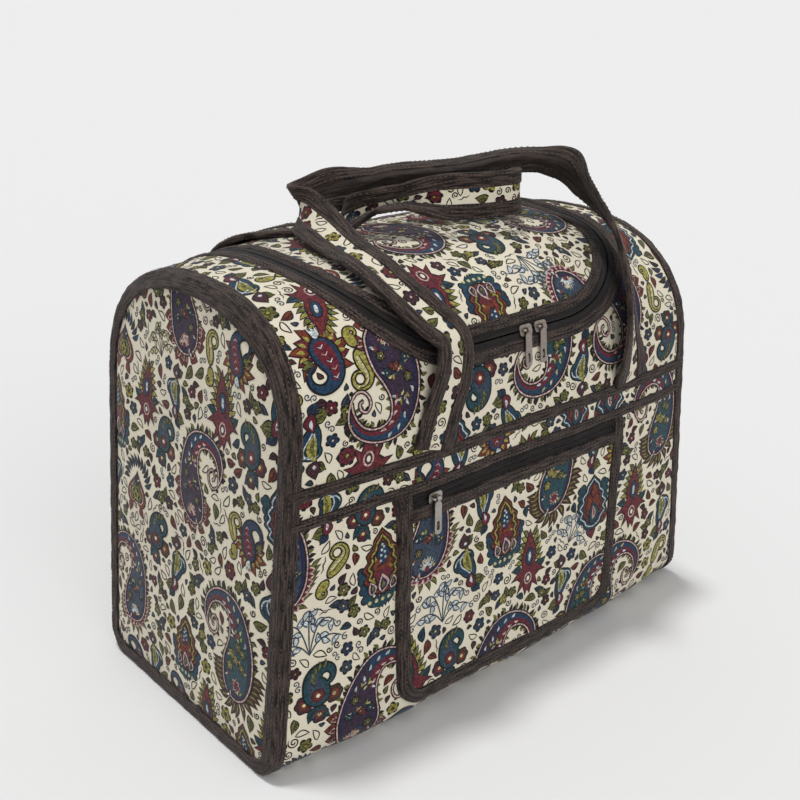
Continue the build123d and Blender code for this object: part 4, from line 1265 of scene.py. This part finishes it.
def handle(name, stations, feet, side):
    """A strap through stations: a place in shares of the bag, a way across and how far it is folded."""
    scale = np.array([half_length, depth / 2 + wall_bulge, end_height + top_crown])

    def foot(share, across):
        x = share * half_length
        y = side * (half_depth(x) + strap_cloth / 2 + strap_tape + clearance)
        return [x, y, band_top + clearance, across, 0, 0, 0]

    rows = [foot(feet[0], -side)]
    for where, across, fold in stations:
        rows.append(list(np.array(where) * scale) + list(across) + [fold])
    rows.append(foot(feet[1], side))
    rows = smooth_through(rows)
    middle, fold = rows[:, :3], np.clip(rows[:, 6], 0, 1) * grip_fold
    ahead = np.gradient(middle, axis=0)
    ahead /= np.linalg.norm(ahead, axis=1, keepdims=True)
    wide = rows[:, 3:6] - (rows[:, 3:6] * ahead).sum(1, keepdims=True) * ahead
    wide /= np.linalg.norm(wide, axis=1, keepdims=True)
    facing = np.cross(ahead, wide)
    along = np.r_[0, np.cumsum(np.linalg.norm(np.diff(middle, axis=0), axis=1))]

    def strap_place(way, u, v):
        way, u, v = np.broadcast_arrays(np.asarray(way, float), np.asarray(u, float), np.asarray(v, float))
        m, w, f = (np.stack([np.interp(way, along, q[:, i]) for i in range(3)], -1)
                   for q in (middle, wide, facing))
        bend = np.interp(way, along, fold)
        across = u * np.cos(bend) + np.sign(u) * v * np.sin(bend)
        out = v * np.cos(bend) - np.abs(u) * np.sin(bend)
        return m + w * across[..., None] + f * out[..., None]

    def loop(part, nodes, outline, materials, pick=None):
        outline = np.asarray(outline, float)
        steps = 320
        way = np.linspace(0, along[-1], steps)
        w, u = np.meshgrid(way, outline[:, 0], indexing="ij")
        v = np.broadcast_to(outline[:, 1], w.shape)
        wrinkle = crinkle(w, np.arange(len(outline))) * 0.8 * np.sign(v) if "binding" in part else 0
        where = strap_place(w, u, v + wrinkle)
        faces = grid_faces(*w.shape, ring=True)
        n = len(outline)
        caps = [tuple(range(n)), tuple(range((steps - 1) * n, steps * n))[::-1]]
        flat = np.stack([w, u], -1).reshape(-1, 2)
        index = None if pick is None else np.r_[np.tile(pick, steps - 1), [0, 0]]
        return piece(name + part, where.reshape(-1, 3), [tuple(f) for f in faces] + caps, materials,
                     nodes=nodes, flat=flat,
                     pick=index)

    inner = strap_width / 2 - strap_tape_width + 3
    half = strap_cloth / 2
    us = np.linspace(-inner, inner, 9)
    ring = [(u, half) for u in us] + [(u, -half) for u in us[::-1]]
    pick = [1] * 8 + [0] * 10
    strap = loop("_cloth", [name + "_strap"], ring, [cream_cloth, lining_tape], pick)
    near = strap_width / 2 - strap_tape_width - 1
    far = strap_width / 2
    edge = [(near, 1.0), (near + 0.4, 1.75), (near + 2, 2.0), (near + 5, 2.1), (far - 2, 2.05),
            (far - 0.6, 1.6),
            (far + 0.2, 0), (far - 0.6, -1.6), (far - 2, -2.05), (near + 5, -2.1), (near + 2, -2.0),
            (near + 0.4, -1.75), (near, -1.0)]
    loop("_right_edge_binding", [name + "_right_binding"], edge, [brown_tape])
    loop("_left_edge_binding", [name + "_left_binding"], [(-u, v) for u, v in edge][::-1], [brown_tape])

    way = np.linspace(3, along[-1] - 3, 300)
    sew(name + "_stitches", [(lambda w, u, lift, face=face: strap_place(w, u, face * lift), way,
                              np.full(300, u), 2.05)
                             for face in (-1, 1)
                             for u in (-far + 1.5, -(near + far) / 2, -near - 1.5, near + 1.5,
                                                           (near + far) / 2, far - 1.5)])

    def on_strap(way, u):
        return (np.abs(u) < near + 0.6) & (way > 2) & (way < along[-1] - 2)

    pattern(name + "_pattern", lambda way, u, lift: strap_place(way, -u, -half - lift), (0, -14),
            (along[-1], 14),
            on_strap, small=True)


handle("front_handle", front_stations, (-0.390, 0.549), -1)
handle("rear_handle", rear_stations, (-0.449, 0.476), 1)


def straight_row(a, x_low=None, x_high=None, lift=1.25):
    ends = end_x(np.array([a]))[0] - end_tape_width
    x = np.linspace(-ends if x_low is None else x_low, ends if x_high is None else x_high, 200)
    return wrap, x, np.full(200, float(a)), lift


rows = []
for low_edge, high_edge in ((band_top - upper_tape_width, band_top),
                            (lower_tape_top - lower_tape_width, lower_tape_top),
                            (over_run - band_top, over_run - band_top + upper_tape_width)):
    rows += [straight_row(a) for a in (low_edge + stitch_inset, (low_edge + high_edge) / 2,
                                       high_edge - stitch_inset)]
for edge in (pocket_top_tape_low + 1.5, (pocket_top_tape_low + pocket_zip_low) / 2, pocket_zip_low - 1.5):
    rows.append(straight_row(edge, -104, 104, lift=pocket_cloth + 1.25))
sew("band_stitches", rows)
sew("lid_stitches", [(wrap, *lid_line(r), 1.25) for r in (
    -zip_half_width - lid_tape_width + stitch_inset, -zip_half_width - lid_tape_width / 2,
    -zip_half_width - stitch_inset, zip_half_width + stitch_inset, zip_half_width + yoke_tape_width / 2,
    zip_half_width + yoke_tape_width - stitch_inset)])
sew("pocket_stitches", [(wrap, *pocket_line(edge), lift) for edge, lift in ((2, 3.75), (6, 3.9), (10, 3.55))])
rim_a = np.linspace(bottom_run - 90, over_run - bottom_run + 90, 600)
rim_x = end_x(rim_a)
rim_at = section(rim_x, rim_a)
rows = []
for side in (-1, 1):
    for back in (1.6, 5, 8.6):
        rows.append((wrap, side * (rim_x - back), rim_a, 1.3))
        inward = rim_at[:, 1:] - end_middle
        inward = rim_at[:, 1:] - inward / np.linalg.norm(inward, axis=1, keepdims=True) * back * 1.1
        rows.append((end_place(side), side * inward[:, 0], inward[:, 1], 0.95))
sew("end_stitches", rows)

# Zip metal and board keep their solids
for name, material in (("left_lid_slider", dark_metal), ("right_lid_slider", dark_metal),
                       ("left_lid_pull", dark_metal), ("right_lid_pull", dark_metal),
                       ("pocket_slider", nickel),
                       ("pocket_pull", nickel), ("base_board", base_board)):
    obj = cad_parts[name]
    obj.data.materials.clear()
    obj.data.materials.append(material)

# Floor, light and camera
floor_mesh = bpy.data.meshes.new("floor")
reach = 60
floor_mesh.from_pydata([(-reach, -reach, 0), (reach, -reach, 0), (reach, reach, 0), (-reach, reach, 0)], [],
                       [(0, 1, 2, 3)])
floor = bpy.data.objects.new("floor", floor_mesh)
scene.collection.objects.link(floor)
paper = bpy.data.materials.new("pale_paper_floor")
paper.use_nodes = True
# Matt paper: the eye gets an even pale grey with no shine
paper_inputs = paper.node_tree.nodes["Principled BSDF"].inputs
paper_inputs["Base Color"].default_value = linear("#e4e4e4")
paper_inputs["Roughness"].default_value = 1.0
paper_inputs["Specular IOR Level"].default_value = 0.0
floor_mesh.materials.append(paper)

world = bpy.data.worlds.new("studio")
scene.world = world
world.use_nodes = True
studio_light = world.node_tree.nodes["Background"]
studio_light.inputs["Color"].default_value = (1, 1, 1, 1)
studio_light.inputs["Strength"].default_value = 0.46
# The backdrop above the floor's edge, as pale as the floor to the camera and in the metal
backdrop = node(world.node_tree, "ShaderNodeBackground", values={"Color": (1, 1, 1, 1), "Strength": 0.85})
ray = node(world.node_tree, "ShaderNodeLightPath").outputs
seen = node(world.node_tree, "ShaderNodeMath", {"operation": "MAXIMUM"},
            links={0: ray["Is Camera Ray"], 1: ray["Is Glossy Ray"]})
seen = node(world.node_tree, "ShaderNodeMath", {"operation": "MAXIMUM"},
            links={0: seen.outputs[0], 1: ray["Is Transmission Ray"]})
studio = node(world.node_tree, "ShaderNodeMixShader",
              links={0: seen.outputs[0], 1: studio_light.outputs[0], 2: backdrop.outputs[0]})
world.node_tree.links.new(studio.outputs[0], world.node_tree.nodes["World Output"].inputs["Surface"])


def sun(name, towards, strength, soft):
    lamp = bpy.data.lights.new(name, "SUN")
    lamp.energy = strength
    lamp.angle = math.radians(soft)
    obj = bpy.data.objects.new(name, lamp)
    obj.rotation_euler = Vector(towards).to_track_quat("-Z", "Y").to_euler()
    scene.collection.objects.link(obj)


sun("overhead_light", (0.09, -0.14, -1.0), 1.65, 9)
sun("front_light", (0.06, 0.84, -0.40), 0.88, 50)

camera_data = bpy.data.cameras.new("camera")
camera_data.sensor_width = 36
camera_data.lens = 50.9
camera_data.clip_end = 200
camera = bpy.data.objects.new("camera", camera_data)
camera.location = Vector((-553.9, -637.6, 519.5)) * METRE
aim = Vector((-25.4, -19.3, 202.4)) * METRE
camera.rotation_euler = (aim - camera.location).to_track_quat("-Z", "Y").to_euler()
scene.collection.objects.link(camera)
scene.camera = camera
